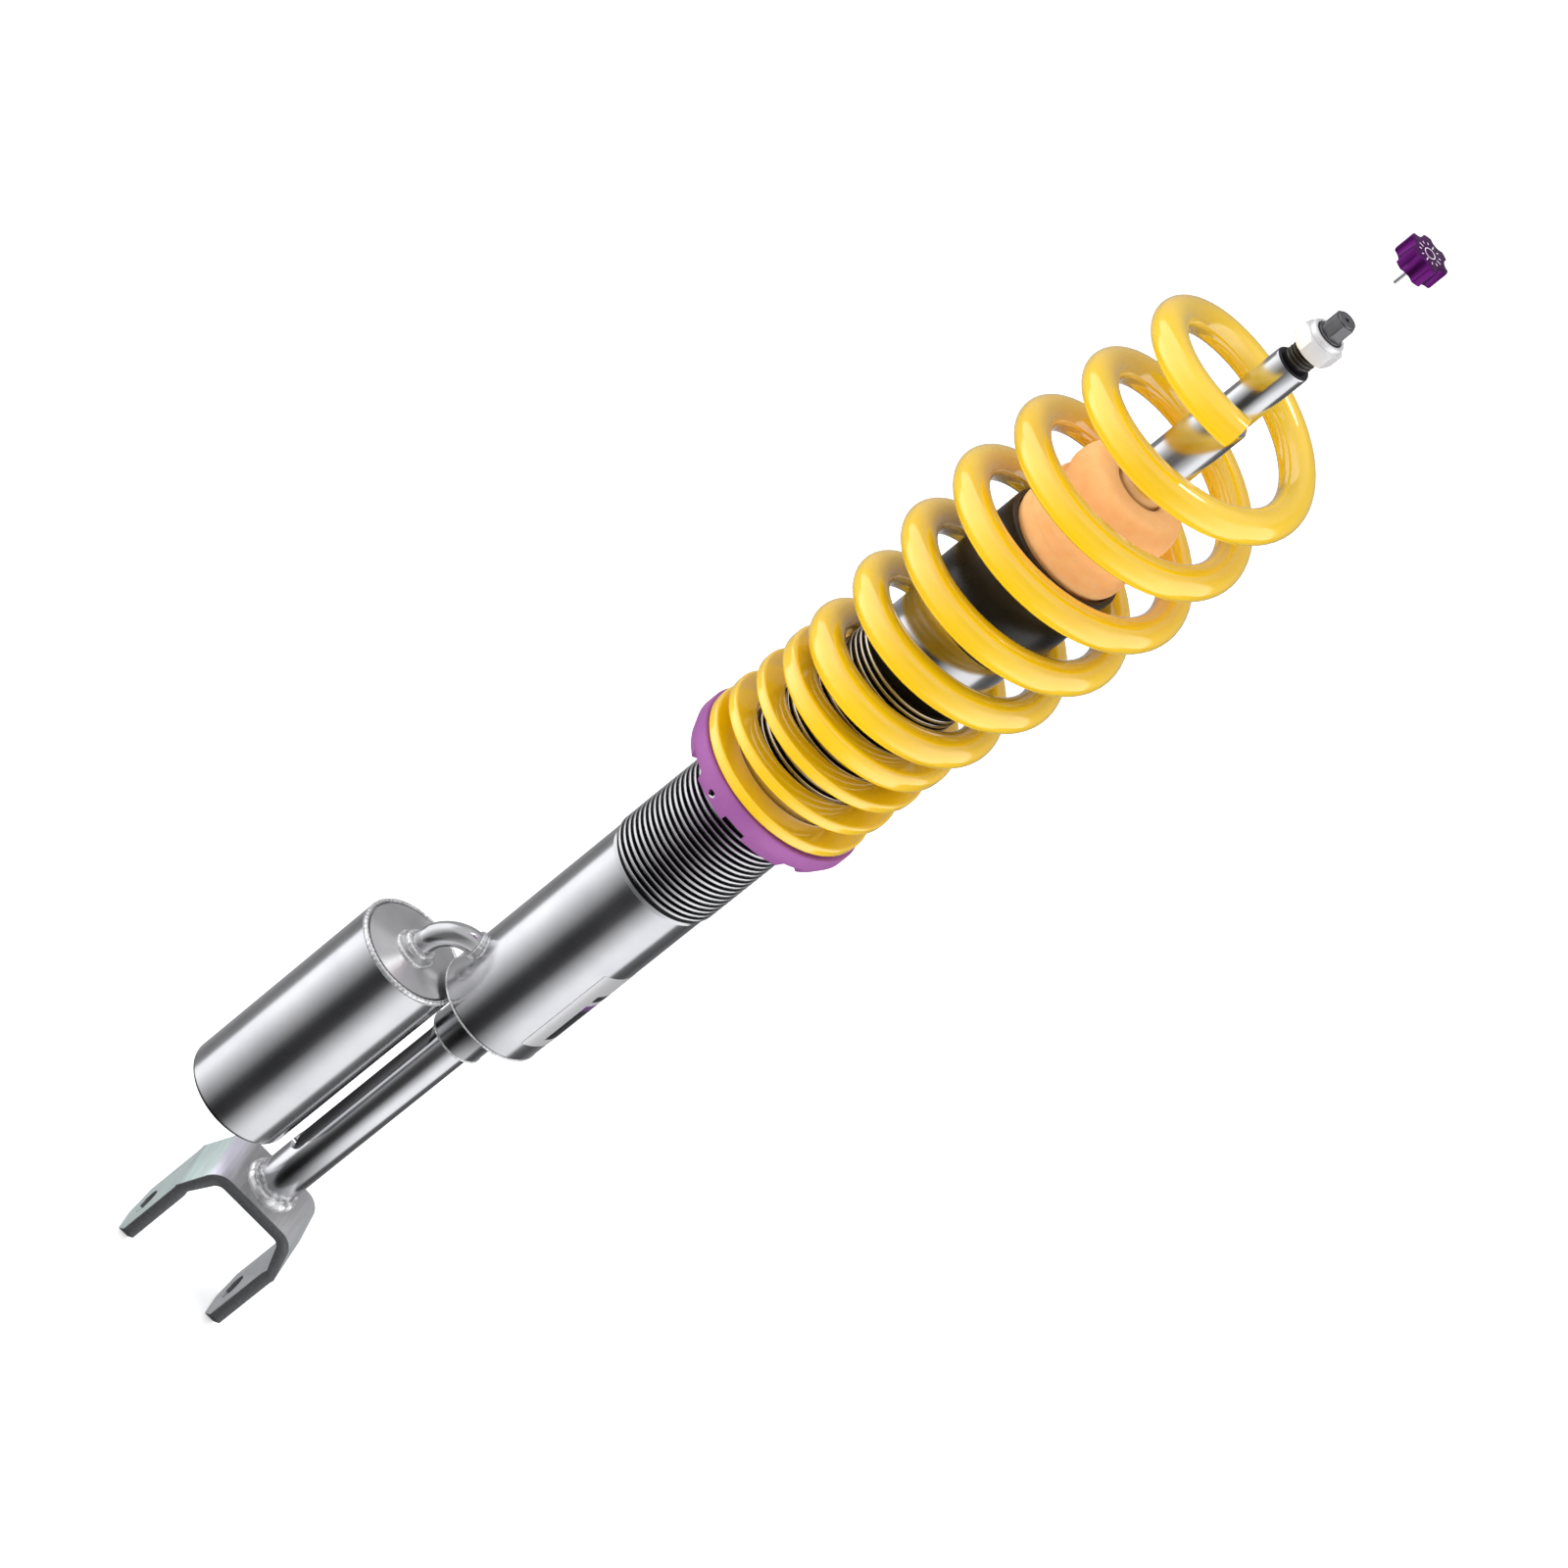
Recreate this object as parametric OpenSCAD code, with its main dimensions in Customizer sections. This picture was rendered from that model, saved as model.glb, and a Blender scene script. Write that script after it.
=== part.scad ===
// Fork-mount coilover strut: adjustable spring perch, remote gas reservoir,
// rebound adjuster knob. Millimetres, +Z up the damper, origin at the fork bolt.

/* [Fork] */
// Thickness of the bent plate
plate_t = 5.5; // [4:0.5:8]
// Width of the plate along the vehicle's Y
plate_w = 33; // [26:1:44]
// Outer distance across the two ears
fork_outer = 56.4; // [46:0.2:70]
// Fork bolt hole diameter
bolt_d = 12; // [10:0.5:16]
// Ear length below the bolt axis
ear_below = 15; // [12:0.5:22]
// Top of the plate's flat web above the bolt axis
web_top = 50.3; // [44:0.1:64]
// Half width of the flat part of the web
web_half = 14.3; // [10:0.1:18]
// Outer radius of the plate's shoulder bend
bend_r = 9.8; // [7:0.1:12]
// Angle of the shoulder bend
bend_a = 73.5; // [60:0.5:85]

/* [Leg] */
// Diameter of the leg bar
leg_d = 19.6; // [16:0.1:24]
// Width of the milled flat beside the reservoir
flat_w = 12; // [8:0.5:16]
// Distance from the leg axis to the milled flat
flat_floor = 7.6; // [6.5:0.1:9]
// Height where the milled flat starts
flat_z0 = 75; // [65:1:100]
// Height where the milled flat ends
flat_z1 = 166; // [120:1:168]
// Diameter of the boss under the strut tube
boss_d = 25; // [22:0.5:32]
// Height where the boss starts
boss_z = 170.4; // [150:0.2:180]

/* [Strut tube] */
// Height of the tube's bottom face
tube_z0 = 192.1; // [180:0.1:200]
// Outer diameter of the plain tube
tube_d = 50; // [45:0.5:55]
// Bore diameter of the tube
tube_bore = 44.6; // [40:0.2:46]
// Height where the thread starts
thread_z0 = 296; // [260:1:330]
// Height where the thread ends
thread_z1 = 446; // [400:1:460]
// Thread pitch
thread_pitch = 3; // [2:0.5:4]
// Thread crest diameter
crest_d = 51.8; // [51:0.1:54]
// Thread root diameter
root_d = 48.6; // [47:0.1:50]
// Outer diameter above the thread
neck_d = 49.2; // [46:0.1:50]
// Top of the tube
tube_z1 = 524; // [500:1:540]

/* [Reservoir] */
// Reservoir centre, X
res_x = -39.9; // [-46:0.1:-37]
// Reservoir centre, Y
res_y = -8; // [-15:0.1:5]
// Outer diameter of the reservoir
res_d = 50; // [40:0.5:54]
// Bore diameter of the reservoir
res_bore = 45; // [36:0.5:48]
// Height of the reservoir's base
res_z0 = 78.8; // [60:0.2:100]
// Height of the reservoir's top face
res_z1 = 189.9; // [170:0.1:191]
// Outer diameter of the crossover pipe
pipe_d = 10.4; // [8:0.1:12]
// Bore of the crossover pipe
pipe_bore = 6.4; // [4:0.1:8]
// Centre-line radius of the pipe bend
pipe_bend = 13.6; // [11:0.1:15]
// Height at which the pipe enters the strut tube
pipe_z = 211.5; // [205:0.5:225]

/* [Spring perch] */
// Bottom of the perch collar
collar_z0 = 355.3; // [345:0.1:365]
// Height of the perch collar
collar_h = 12.3; // [10:0.1:18]
// Largest diameter of the collar
collar_d = 81.4; // [76:0.1:90]
// Number of spanner notches
notch_n = 8; // [4:1:12]
// Width of one spanner notch
notch_w = 11; // [6:0.5:14]

/* [Spring] */
// Diameter of the round wire
wire_d = 14.2; // [10:0.1:16]
// Radial width of the flat coils
flat_radial = 12; // [9:0.1:14]
// Axial height of the flat coils
flat_axial = 5; // [4:0.1:7]
// Rings of facets per turn
spring_steps = 32; // [16:4:48]

/* [Rod] */
// Diameter of the piston rod
rod_d = 20; // [16:0.5:24]
// Height of the rod's shoulder
shoulder_z = 616.2; // [600:0.2:630]
// Diameter of the shaft above the shoulder
shaft_d = 15.9; // [12:0.1:18]
// Height where the shaft ends
shaft_z1 = 650.8; // [640:0.2:660]
// Stud thread diameter
stud_d = 12; // [10:1:14]
// Height where the stud thread ends
stud_z1 = 669; // [665:0.2:676]
// Width across flats of the holding hex
stub_af = 9; // [6:0.5:10]
// Top of the holding hex
stub_z1 = 678.5; // [674:0.1:684]

/* [Knob] */
// Height of the knob's underside, pulled off
knob_z0 = 711.8; // [700:0.1:725]
// Knob height
knob_h = 9.2; // [7:0.1:14]
// Knob diameter over the lobes
knob_d = 19.4; // [16:0.1:26]
// Number of lobes
lobe_n = 6; // [5:1:8]
// Length of the pin below the knob
pin_len = 9.2; // [6:0.1:12]
// Pin diameter
pin_d = 1.5; // [1:0.1:2.5]

/* [Hidden] */
tube_r = tube_d / 2;
bore_r = tube_bore / 2;
leg_r = leg_d / 2;
rod_r = rod_d / 2;
collar_z1 = collar_z0 + collar_h;
res_dist = norm([res_x, res_y]);
res_a = atan2(res_y, res_x);
slide_gap = 0.05;       // radial clearance of sliding fits
cart_r = 22.2;          // outside of the damper cartridge
cart_bore = 20;         // cylinder bore radius
plug_z1 = 200;          // top of the foot plug
valve_z = 219;          // underside of the foot valve
piston_z = 462;         // underside of the piston, rod fully out
stem_r = 6;             // rod stem that carries the piston
guide_z = 494;          // underside of the rod guide
gland_z = 514;          // underside of the gland nut
spindle_r = 2.3;
spindle_bore = 2.4;
spindle_z1 = 672.6;
socket_r = 0.8;
floater_z = 118;        // underside of the floating piston
view_a = -10.5;         // azimuth of the strut's right-hand side
sleeve_z0 = 479;        // black dust sleeve
sleeve_z1 = 528;
stop_z0 = 524.4;        // bump stop
stop_z1 = 569;

steel = [0.78, 0.79, 0.81];
zinc = [0.62, 0.63, 0.65];
weld = [0.85, 0.85, 0.86];
dark = [0.25, 0.25, 0.26];
black = [0.07, 0.07, 0.07];
bronze = [0.7, 0.5, 0.25];
purple = [0.62, 0.31, 0.7];
yellow = [0.95, 0.76, 0.1];
foam = [0.95, 0.63, 0.38];

// ---------- helpers ----------
// Ring between two radii and two heights
module ring(r_in, r_out, z0, z1) {
    translate([0, 0, z0]) difference() {
        cylinder(r = r_out, h = z1 - z0);
        translate([0, 0, -1]) cylinder(r = r_in, h = z1 - z0 + 2);
    }
}

// Hexagonal prism by width across flats, one corner toward azimuth a
module hex(af, z0, z1, a = 0)
    translate([0, 0, z0]) rotate(a) cylinder(r = af / 2 / cos(30), h = z1 - z0, $fn = 6);

// Moves a shape from the origin to the reservoir's axis
module at_reservoir() translate([res_x, res_y, 0]) children();

// ---------- fork, leg and foot ----------
// Points of a circular arc in the plate's side view
function arc(cx, cz, r, a0, a1) = [for (i = [0:10]) let (a = a0 + (a1 - a0) * i / 10)
    [cx + r * cos(a), cz + r * sin(a)]];

// Right half of the bent plate's side view, from the web's centre round the ear and back
function fork_half_points() =
    let (flare_r = 8, back_a = 90 - bend_a, x_e = fork_outer / 2, t = plate_t,
         x_b = web_half + bend_r * sin(bend_a),
         z_b = web_top - bend_r + bend_r * cos(bend_a),
         z_v = z_b - (x_e - x_b) / tan(back_a),
         z_f = z_v - flare_r * tan(back_a / 2),
         z_c = web_top - bend_r)
    concat(arc(web_half, z_c, bend_r, 90, 90 - bend_a),
           arc(x_e + flare_r, z_f, flare_r, 180 - back_a, 180),
           [[x_e, -ear_below], [x_e - t, -ear_below]],
           arc(x_e + flare_r, z_f, flare_r + t, 180, 180 - back_a),
           arc(web_half, z_c, bend_r - t, 90 - bend_a, 90));

module fork_bracket() color(zinc) difference() {
    intersection() {
        translate([0, plate_w / 2, 0]) rotate([90, 0, 0]) linear_extrude(plate_w) {
            half = fork_half_points();
            polygon(concat(half, [for (i = [len(half) - 1:-1:0]) [-half[i][0], half[i][1]]]));
        }
        rotate([90, 0, 90]) translate([0, 0, -fork_outer])
            linear_extrude(2 * fork_outer)
                polygon([[-plate_w, web_top + 10], [-plate_w, plate_w / 2 - 6],
                         [-plate_w / 2, -6], [-6.5, -ear_below], [-6.5, -ear_below - 10],
                         [6.5, -ear_below - 10], [6.5, -ear_below], [plate_w / 2, -6],
                         [plate_w, plate_w / 2 - 6], [plate_w, web_top + 10]]);
    }
    translate([-fork_outer, 0, 0]) rotate([0, 90, 0]) cylinder(d = bolt_d, h = 2 * fork_outer);
}

module fork_weld() color(weld) rotate_extrude()
    polygon([[leg_r, web_top], [12.7, web_top], [13, 51.4], [12.4, 53.2], [11.2, 54.6],
             [leg_r, 55.2]]);

module leg_bar() color(steel) difference() {
    translate([0, 0, web_top]) cylinder(r = leg_r, h = boss_z + 9 - web_top);
    rotate(res_a) {
        translate([flat_floor, -flat_w / 2, flat_z0 + flat_w / 2])
            cube([leg_d, flat_w, flat_z1 - flat_z0 - flat_w]);
        for (z = [flat_z0 + flat_w / 2, flat_z1 - flat_w / 2])
            translate([flat_floor, 0, z]) rotate([0, 90, 0]) cylinder(d = flat_w, h = leg_d);
    }
}

module foot_plug() color(steel) difference() {
    rotate_extrude()
        polygon([[0, boss_z], [boss_d / 2 - 0.6, boss_z], [boss_d / 2, boss_z + 0.6],
                 [boss_d / 2, tube_z0], [bore_r, tube_z0], [bore_r, plug_z1], [0, plug_z1]]);
    translate([0, 0, boss_z - 1]) cylinder(r = leg_r, h = 10);
}

module boss_weld() color(weld) rotate_extrude()
    polygon([[leg_r, boss_z], [leg_r, boss_z - 1.7], [11, boss_z - 1.5],
             [11.8, boss_z - 0.7], [11.8, boss_z]]);

// ---------- strut tube ----------
module strut_tube() color(steel) difference() {
    rotate_extrude() {
        crest = crest_d / 2;
        root = root_d / 2;
        turns = floor((thread_z1 - thread_z0) / thread_pitch);
        polygon(concat(
            [[bore_r, tube_z0], [tube_r - 1.2, tube_z0], [tube_r - 0.3, tube_z0 + 0.5],
             [tube_r, tube_z0 + 1.5], [tube_r, thread_z0], [root, thread_z0]],
            [for (i = [0:turns - 1], p = [[root, 0.55], [crest, 1.05], [crest, 1.95], [root, 2.45]])
                [p[0], thread_z0 + (i + p[1] / 3) * thread_pitch]],
            [[root, thread_z0 + turns * thread_pitch], [root, thread_z1 + 4],
             [neck_d / 2, thread_z1 + 5], [neck_d / 2, tube_z1 - 0.8],
             [neck_d / 2 - 0.8, tube_z1], [bore_r, tube_z1]]));
    }
    pipe_hole();
}

// The crossover port, drilled toward the strut axis
module pipe_hole() rotate(res_a) translate([cart_bore - 2, 0, pipe_z])
    rotate([0, 90, 0]) cylinder(d = pipe_bore, h = 12);

module tube_label() color([0.85, 0.85, 0.86]) rotate([0, 0, view_a - 44])
    rotate_extrude(angle = 80) translate([tube_r, 204]) square([0.15, 51]);

module cartridge_tube() color(steel) difference() {
    ring(cart_bore, cart_r, plug_z1, gland_z);
    pipe_hole();
}

module foot_valve() color(bronze) difference() {
    translate([0, 0, valve_z]) cylinder(r = cart_bore, h = 10);
    for (i = [0:5]) rotate(60 * i) translate([12, 0, valve_z - 1]) cylinder(r = 2, h = 12);
}

module foot_valve_shims() color(dark) {
    ring(0.01, 9, valve_z + 10, valve_z + 11.5);
    translate([0, 0, valve_z + 11.5]) cylinder(r = 4, h = 4);
}

module rod_guide() color(bronze) difference() {
    ring(rod_r + slide_gap, cart_bore, guide_z, guide_z + 14);
    translate([0, 0, guide_z - 1]) cylinder(r = 13, h = 4);
}

module rod_seal() color(black) ring(rod_r + slide_gap, 17, guide_z + 14, gland_z);

module gland_nut() color(dark) difference() {
    translate([0, 0, gland_z]) cylinder(r = bore_r, h = tube_z1 - gland_z);
    translate([0, 0, gland_z - 1]) cylinder(r = rod_r + 0.6, h = 20);
    translate([0, 0, gland_z + 5]) cylinder(r = 14, h = 20);
    for (a = [0, 90]) rotate(a) translate([17.5, 0, gland_z + 6]) cylinder(r = 2, h = 6);
    for (a = [180, 270]) rotate(a) translate([17.5, 0, gland_z + 6]) cylinder(r = 2, h = 6);
}

module rod_wiper() color(black) rotate_extrude()
    polygon([[rod_r + slide_gap, gland_z + 5], [14, gland_z + 5], [14, gland_z + 8.5],
             [11.5, gland_z + 8.5], [rod_r + slide_gap, gland_z + 10]]);

module dust_sleeve() color(black) rotate_extrude()
    polygon([[neck_d / 2, sleeve_z0], [26.6, sleeve_z0], [27.2, sleeve_z0 + 0.8],
             [27.2, sleeve_z1 - 1], [26.6, sleeve_z1], [25.3, sleeve_z1],
             [neck_d / 2 + 0.1, sleeve_z1 - 0.8], [neck_d / 2 + 0.1, tube_z1 - 1.5],
             [neck_d / 2, tube_z1 - 2]]);

module bump_stop() color(foam) rotate_extrude()
    polygon([[rod_r + 0.4, stop_z0], [24.4, stop_z0], [24.4, sleeve_z1 + 0.3],
             [25.2, 530], [25.6, 536], [25.6, 546], [25.1, 549.5], [23.2, 551.2],
             [22.9, 552.2], [23.2, 553.2], [24.9, 554.8], [25.2, 557], [24.9, 561.5],
             [23.6, 566], [22, 568.4], [20.6, stop_z1], [rod_r + 1.8, stop_z1],
             [rod_r + 0.4, stop_z1 - 1.6]]);

// ---------- reservoir ----------
module reservoir_tube() color(steel) at_reservoir() difference() {
    rotate_extrude()
        polygon([[res_bore / 2, res_z0], [res_d / 2 - 1.6, res_z0],
                 [res_d / 2 - 0.5, res_z0 + 0.5], [res_d / 2, res_z0 + 1.6],
                 [res_d / 2, res_z1 - 1.6], [res_bore / 2, res_z1 - 1.6]]);
}

module reservoir_weld() color(weld) at_reservoir() rotate_extrude()
    polygon([[res_bore / 2, res_z1 - 1.6], [res_d / 2, res_z1 - 1.6],
             [res_d / 2 + 0.1, res_z1 - 0.8], [res_d / 2 - 0.3, res_z1 + 0.1],
             [res_d / 2 - 1.2, res_z1 + 0.5], [res_bore / 2, res_z1 + 0.2]]);

module reservoir_cap() color(steel) at_reservoir() difference() {
    rotate_extrude()
        polygon([[0, res_z1 - 9], [res_bore / 2, res_z1 - 9], [res_bore / 2, res_z1],
                 [9, res_z1 + 0.7], [0, res_z1 + 0.7]]);
    translate([0, 0, res_z1 - 10]) cylinder(d = pipe_bore, h = 20);
}

module reservoir_base() color(steel) at_reservoir() difference() {
    translate([0, 0, res_z0]) cylinder(d = res_bore, h = 8);
    translate([0, 0, res_z0 - 1]) cylinder(r = 5, h = 10);
    translate([0, 0, res_z0 - 1]) cylinder(r = 8, h = 3);
}

module fill_plug() color(bronze) at_reservoir() difference() {
    union() {
        translate([0, 0, res_z0 + 2]) cylinder(r = 5, h = 8);
        translate([0, 0, res_z0 + 0.5]) cylinder(r = 7.4, h = 1.5);
    }
    hex(5, res_z0 - 1, res_z0 + 4);
}

module reservoir_boss() color(steel) at_reservoir() ring(pipe_bore / 2, 8, res_z1 + 0.7, res_z1 + 4);

module boss_ring_weld() color(weld) at_reservoir() rotate_extrude()
    polygon([[8, res_z1 + 0.7], [9, res_z1 + 0.7], [9.3, res_z1 + 1.1], [9, res_z1 + 1.9],
             [8, res_z1 + 2.3]]);

// Centre line: up from the boss, a quarter bend, then level to the strut axis
module pipe_path(r, extra) {
    z_bend = pipe_z - pipe_bend;
    at_reservoir() rotate(res_a + 180) {
        translate([0, 0, res_z1 + 4 - extra])
            cylinder(r = r, h = z_bend - res_z1 - 4 + extra);
        translate([pipe_bend, 0, z_bend]) rotate([90, 0, 0]) rotate(90)
            rotate_extrude(angle = 90) translate([pipe_bend, 0]) circle(r = r);
        translate([pipe_bend, 0, pipe_z]) rotate([0, 90, 0])
            cylinder(r = r, h = res_dist - pipe_bend - bore_r + 4);
    }
}

module crossover_pipe() color(steel) difference() {
    pipe_path(pipe_d / 2, 0);
    pipe_path(pipe_bore / 2, 1);
    translate([0, 0, pipe_z - 20]) cylinder(r = tube_r, h = 40);
}

module pipe_weld_boss() color(weld) at_reservoir() rotate_extrude()
    polygon([[pipe_d / 2, res_z1 + 4], [7.2, res_z1 + 4], [7.4, res_z1 + 4.5],
             [6.8, res_z1 + 5.5], [pipe_d / 2, res_z1 + 6]]);

module pipe_weld_tube() color(weld) difference() {
    rotate(res_a) translate([tube_r - 3, 0, pipe_z]) rotate([0, 90, 0])
        cylinder(r1 = pipe_d / 2 + 2.4, r2 = pipe_d / 2 + 0.9, h = 4.6);
    rotate(res_a) translate([tube_r - 6, 0, pipe_z]) rotate([0, 90, 0])
        cylinder(r = pipe_d / 2, h = 14);
    translate([0, 0, pipe_z - 20]) cylinder(r = tube_r, h = 40);
}

module floating_piston() color([0.8, 0.8, 0.82]) at_reservoir() rotate_extrude()
    polygon([[0, floater_z + 6], [14, floater_z + 6], [14, floater_z], [22.4, floater_z],
             [22.4, floater_z + 7], [20.4, floater_z + 7], [20.4, floater_z + 11],
             [22.4, floater_z + 11], [22.4, floater_z + 18], [0, floater_z + 18]]);

module floating_seal() color(black) at_reservoir()
    ring(20.4, res_bore / 2 - 0.02, floater_z + 7, floater_z + 11);

// ---------- rod and piston ----------
module piston_rod() color(steel) difference() {
    union() {
        rotate_extrude() {
            stud = stud_d / 2;
            pitch = 1.75;
            ridges = floor((stud_z1 - shaft_z1 - 1) / pitch);
            polygon(concat(
                [[0, piston_z - 14], [stem_r - 0.8, piston_z - 14], [stem_r, piston_z - 13],
                 [stem_r, piston_z + 18], [rod_r, piston_z + 18], [rod_r, shoulder_z - 1.2],
                 [rod_r - 1.2, shoulder_z], [shaft_d / 2, shoulder_z],
                 [shaft_d / 2, shaft_z1 - 1.4], [shaft_d / 2 - 1, shaft_z1]],
                [for (i = [0:ridges - 1], p = [[stud - 0.9, 0.25], [stud, 0.75], [stud, 1],
                                               [stud - 0.9, 1.5]])
                    [p[0], shaft_z1 + 0.4 + i * pitch + p[1]]],
                [[stud - 0.9, stud_z1 - 0.2], [stud - 1.1, stud_z1], [5.5, stud_z1],
                 [5.5, stud_z1 + 0.9], [0, stud_z1 + 0.9]]));
        }
        hex(stub_af, stud_z1 + 0.3, stub_z1 - 0.8, view_a - 90 - 20);
        rotate_extrude()
            polygon([[0, stub_z1 - 2], [4.15, stub_z1 - 2], [4.15, stub_z1 - 0.25],
                     [3.9, stub_z1], [0, stub_z1]]);
    }
    translate([0, 0, piston_z - 20]) cylinder(r = spindle_bore, h = spindle_z1 - piston_z + 20.2);
    translate([0, 0, spindle_z1]) cylinder(r = 1, h = 12);
}

module rebound_stop() color(bronze) ring(rod_r, 12, piston_z + 18, piston_z + 24);

module piston() color(bronze) difference() {
    ring(stem_r, 19.95, piston_z, piston_z + 18);
    ring(19.2, 25, piston_z + 5, piston_z + 13);
    for (i = [0:7]) rotate(45 * i) translate([12.5, 0, piston_z - 1]) cylinder(r = 1.9, h = 20);
}

module piston_band() color(dark) ring(19.2, cart_bore - 0.03, piston_z + 5, piston_z + 13);

module piston_shims() color(steel) {
    ring(stem_r, 10, piston_z - 1.5, piston_z);
    ring(stem_r, 8.5, piston_z - 3, piston_z - 1.5);
}

module piston_nut() color(dark) difference() {
    hex(19, piston_z - 13, piston_z - 3);
    translate([0, 0, piston_z - 20]) cylinder(r = stem_r, h = 30);
}

module top_nut() color(weld) difference() {
    intersection() {
        hex(17, 659.3, 666.8, view_a - 90 - 13);
        rotate_extrude()
            polygon([[0, 659.3], [8.6, 659.3], [9.9, 660.2], [9.9, 665.8], [8.4, 666.8],
                     [0, 666.8]]);
    }
    translate([0, 0, 650]) cylinder(d = stud_d, h = 30);
}

module nut_ring() color(weld) rotate_extrude()
    polygon([[stud_d / 2, 666.8], [7.8, 666.8], [7.8, 668.5], [7.2, 669.3], [stud_d / 2, 669.3]]);

module adjuster_spindle() color(bronze) difference() {
    rotate_extrude()
        polygon([[0, piston_z - 22], [0.8, piston_z - 22], [spindle_r, piston_z - 14],
                 [spindle_r, spindle_z1], [0, spindle_z1]]);
    translate([0, 0, spindle_z1 - 4]) cylinder(r = socket_r, h = 5);
}

// ---------- knob ----------
module knob() color(purple) difference() {
    rotate_extrude()
        polygon([[0, knob_z0], [knob_d / 2 - 0.5, knob_z0], [knob_d / 2, knob_z0 + 0.5],
                 [knob_d / 2, knob_z0 + knob_h - 0.4], [knob_d / 2 - 0.4, knob_z0 + knob_h],
                 [0, knob_z0 + knob_h]]);
    for (i = [0:lobe_n - 1]) rotate(view_a + 35 + 360 / lobe_n * i)
        translate([knob_d / 2 + 1.9, 0, knob_z0 - 1]) cylinder(r = 4.1, h = knob_h + 2);
    translate([0, 0, knob_z0 - 1]) cylinder(d = pin_d, h = 7);
}

module knob_pin() color(steel)
    translate([0, 0, knob_z0 - pin_len]) cylinder(d = pin_d, h = pin_len + 6);

// ---------- spring perch ----------
module collar_notch() translate([33, -notch_w / 2, collar_z0 - 1])
    cube([12, notch_w, 5.4]);

screw_a = view_a - 90 - 16.7;
screw_z = collar_z0 + 4.4;

module perch_collar() color(purple) difference() {
    rotate_extrude()
        polygon([[crest_d / 2 + 0.06, collar_z0 + 0.6], [crest_d / 2 + 0.7, collar_z0],
                 [37.4, collar_z0], [38, collar_z0 + 0.6], [39.9, collar_z0 + 4.6],
                 [collar_d / 2, collar_z0 + 6.4], [collar_d / 2, collar_z1 - 0.5],
                 [collar_d / 2 - 0.5, collar_z1], [crest_d / 2 + 0.06, collar_z1]]);
    for (i = [0:notch_n - 1]) rotate(view_a - 84 + 360 / notch_n * i) collar_notch();
    rotate(screw_a) translate([20, 0, screw_z]) rotate([0, 90, 0]) cylinder(r = 1.8, h = 30);
}

module perch_screw() color(steel) rotate(screw_a) translate([26.4, 0, screw_z])
    rotate([0, 90, 0]) difference() {
        cylinder(r = 1.8, h = 12.9);
        translate([0, 0, 8.9]) cylinder(r = 1.05, h = 5, $fn = 6);
    }

module centring_sleeve() color(steel) rotate_extrude()
    polygon([[crest_d / 2 + 0.06, collar_z1], [27.3, collar_z1], [27.3, collar_z1 + 11.8],
             [26.9, collar_z1 + 12.4], [crest_d / 2 + 0.06, collar_z1 + 12.4]]);

// ---------- spring ----------
// Position p counts half turns from the strut's left-hand side; the wire starts at
// the back on the collar and climbs anticlockwise, seen from above.
p_start = -0.5;
p_end = 20.555;
p_steps = ceil((p_end - p_start) * spring_steps / 2);
function ramp(x, a, b) = let (t = max(0, min(1, (x - a) / (b - a)))) t * t * (3 - 2 * t);
// Climb per half turn: none on the collar, then the flat coils, then the round ones
function climb(p) = 8.05 * ramp(p, 0.1, 1.4) + 6.5 * ramp(p, 7.3, 8.9) + 0.306 * max(0, p - 8);
function outer_r(p) = lookup(p, [[6.6, 39.6], [7.5, 40.3], [9, 43.2], [11, 46.8], [12, 48.6],
                                 [13, 50.3], [14, 51.7], [14.5, 52.1], [15, 52.2], [15.5, 52.1],
                                 [16, 51.7], [18, 49.8], [19, 48.9], [20.6, 48.3]]);
function high(p) = flat_axial + (wire_d - flat_axial) * ramp(p, 4.8, 8.4);
function wide(p) = flat_radial + (wire_d - flat_radial) * ramp(p, 4.8, 8.4);
function corner(p) = 1.3 + (wire_d / 2 - 1.35) * ramp(p, 5.4, 8.6);
// Heights of the wire's centre at every ring
p_of = [for (i = [0:p_steps]) p_start + (p_end - p_start) * i / p_steps];
z_of = [for (i = 0, z = collar_z1 + flat_axial / 2; i <= p_steps;
             z = z + climb(p_of[i] + (p_end - p_start) / p_steps / 2) * (p_end - p_start) / p_steps,
             i = i + 1) z];
// Section: a rounded rectangle of twelve points, three to a corner
function section(p) = let (w = wide(p) / 2, h = high(p) / 2, c = min(corner(p), h, w))
    [for (q = [0:3], k = [0:2]) let (a = 90 * q + 15 + 30 * k,
        sx = (q == 0 || q == 3) ? 1 : -1, sy = q < 2 ? 1 : -1)
        [sx * (w - c) + c * cos(a) / cos(15), sy * (h - c) + c * sin(a) / cos(15)]];

module spring() color(yellow) {
    m = 12;
    points = [for (i = [0:p_steps]) let (p = p_of[i], a = 180 + view_a + 180 * p,
                                         mid = outer_r(p) - wide(p) / 2)
        for (s = section(p)) [(mid + s[0]) * cos(a), (mid + s[0]) * sin(a), z_of[i] + s[1]]];
    sides = [for (i = [0:p_steps - 1], j = [0:m - 1]) let (k = (j + 1) % m)
        each [[i * m + j, i * m + k, (i + 1) * m + k], [i * m + j, (i + 1) * m + k, (i + 1) * m + j]]];
    ends = [[for (j = [m - 1:-1:0]) j], [for (j = [0:m - 1]) p_steps * m + j]];
    polyhedron(points, concat(sides, ends));
}

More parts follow.
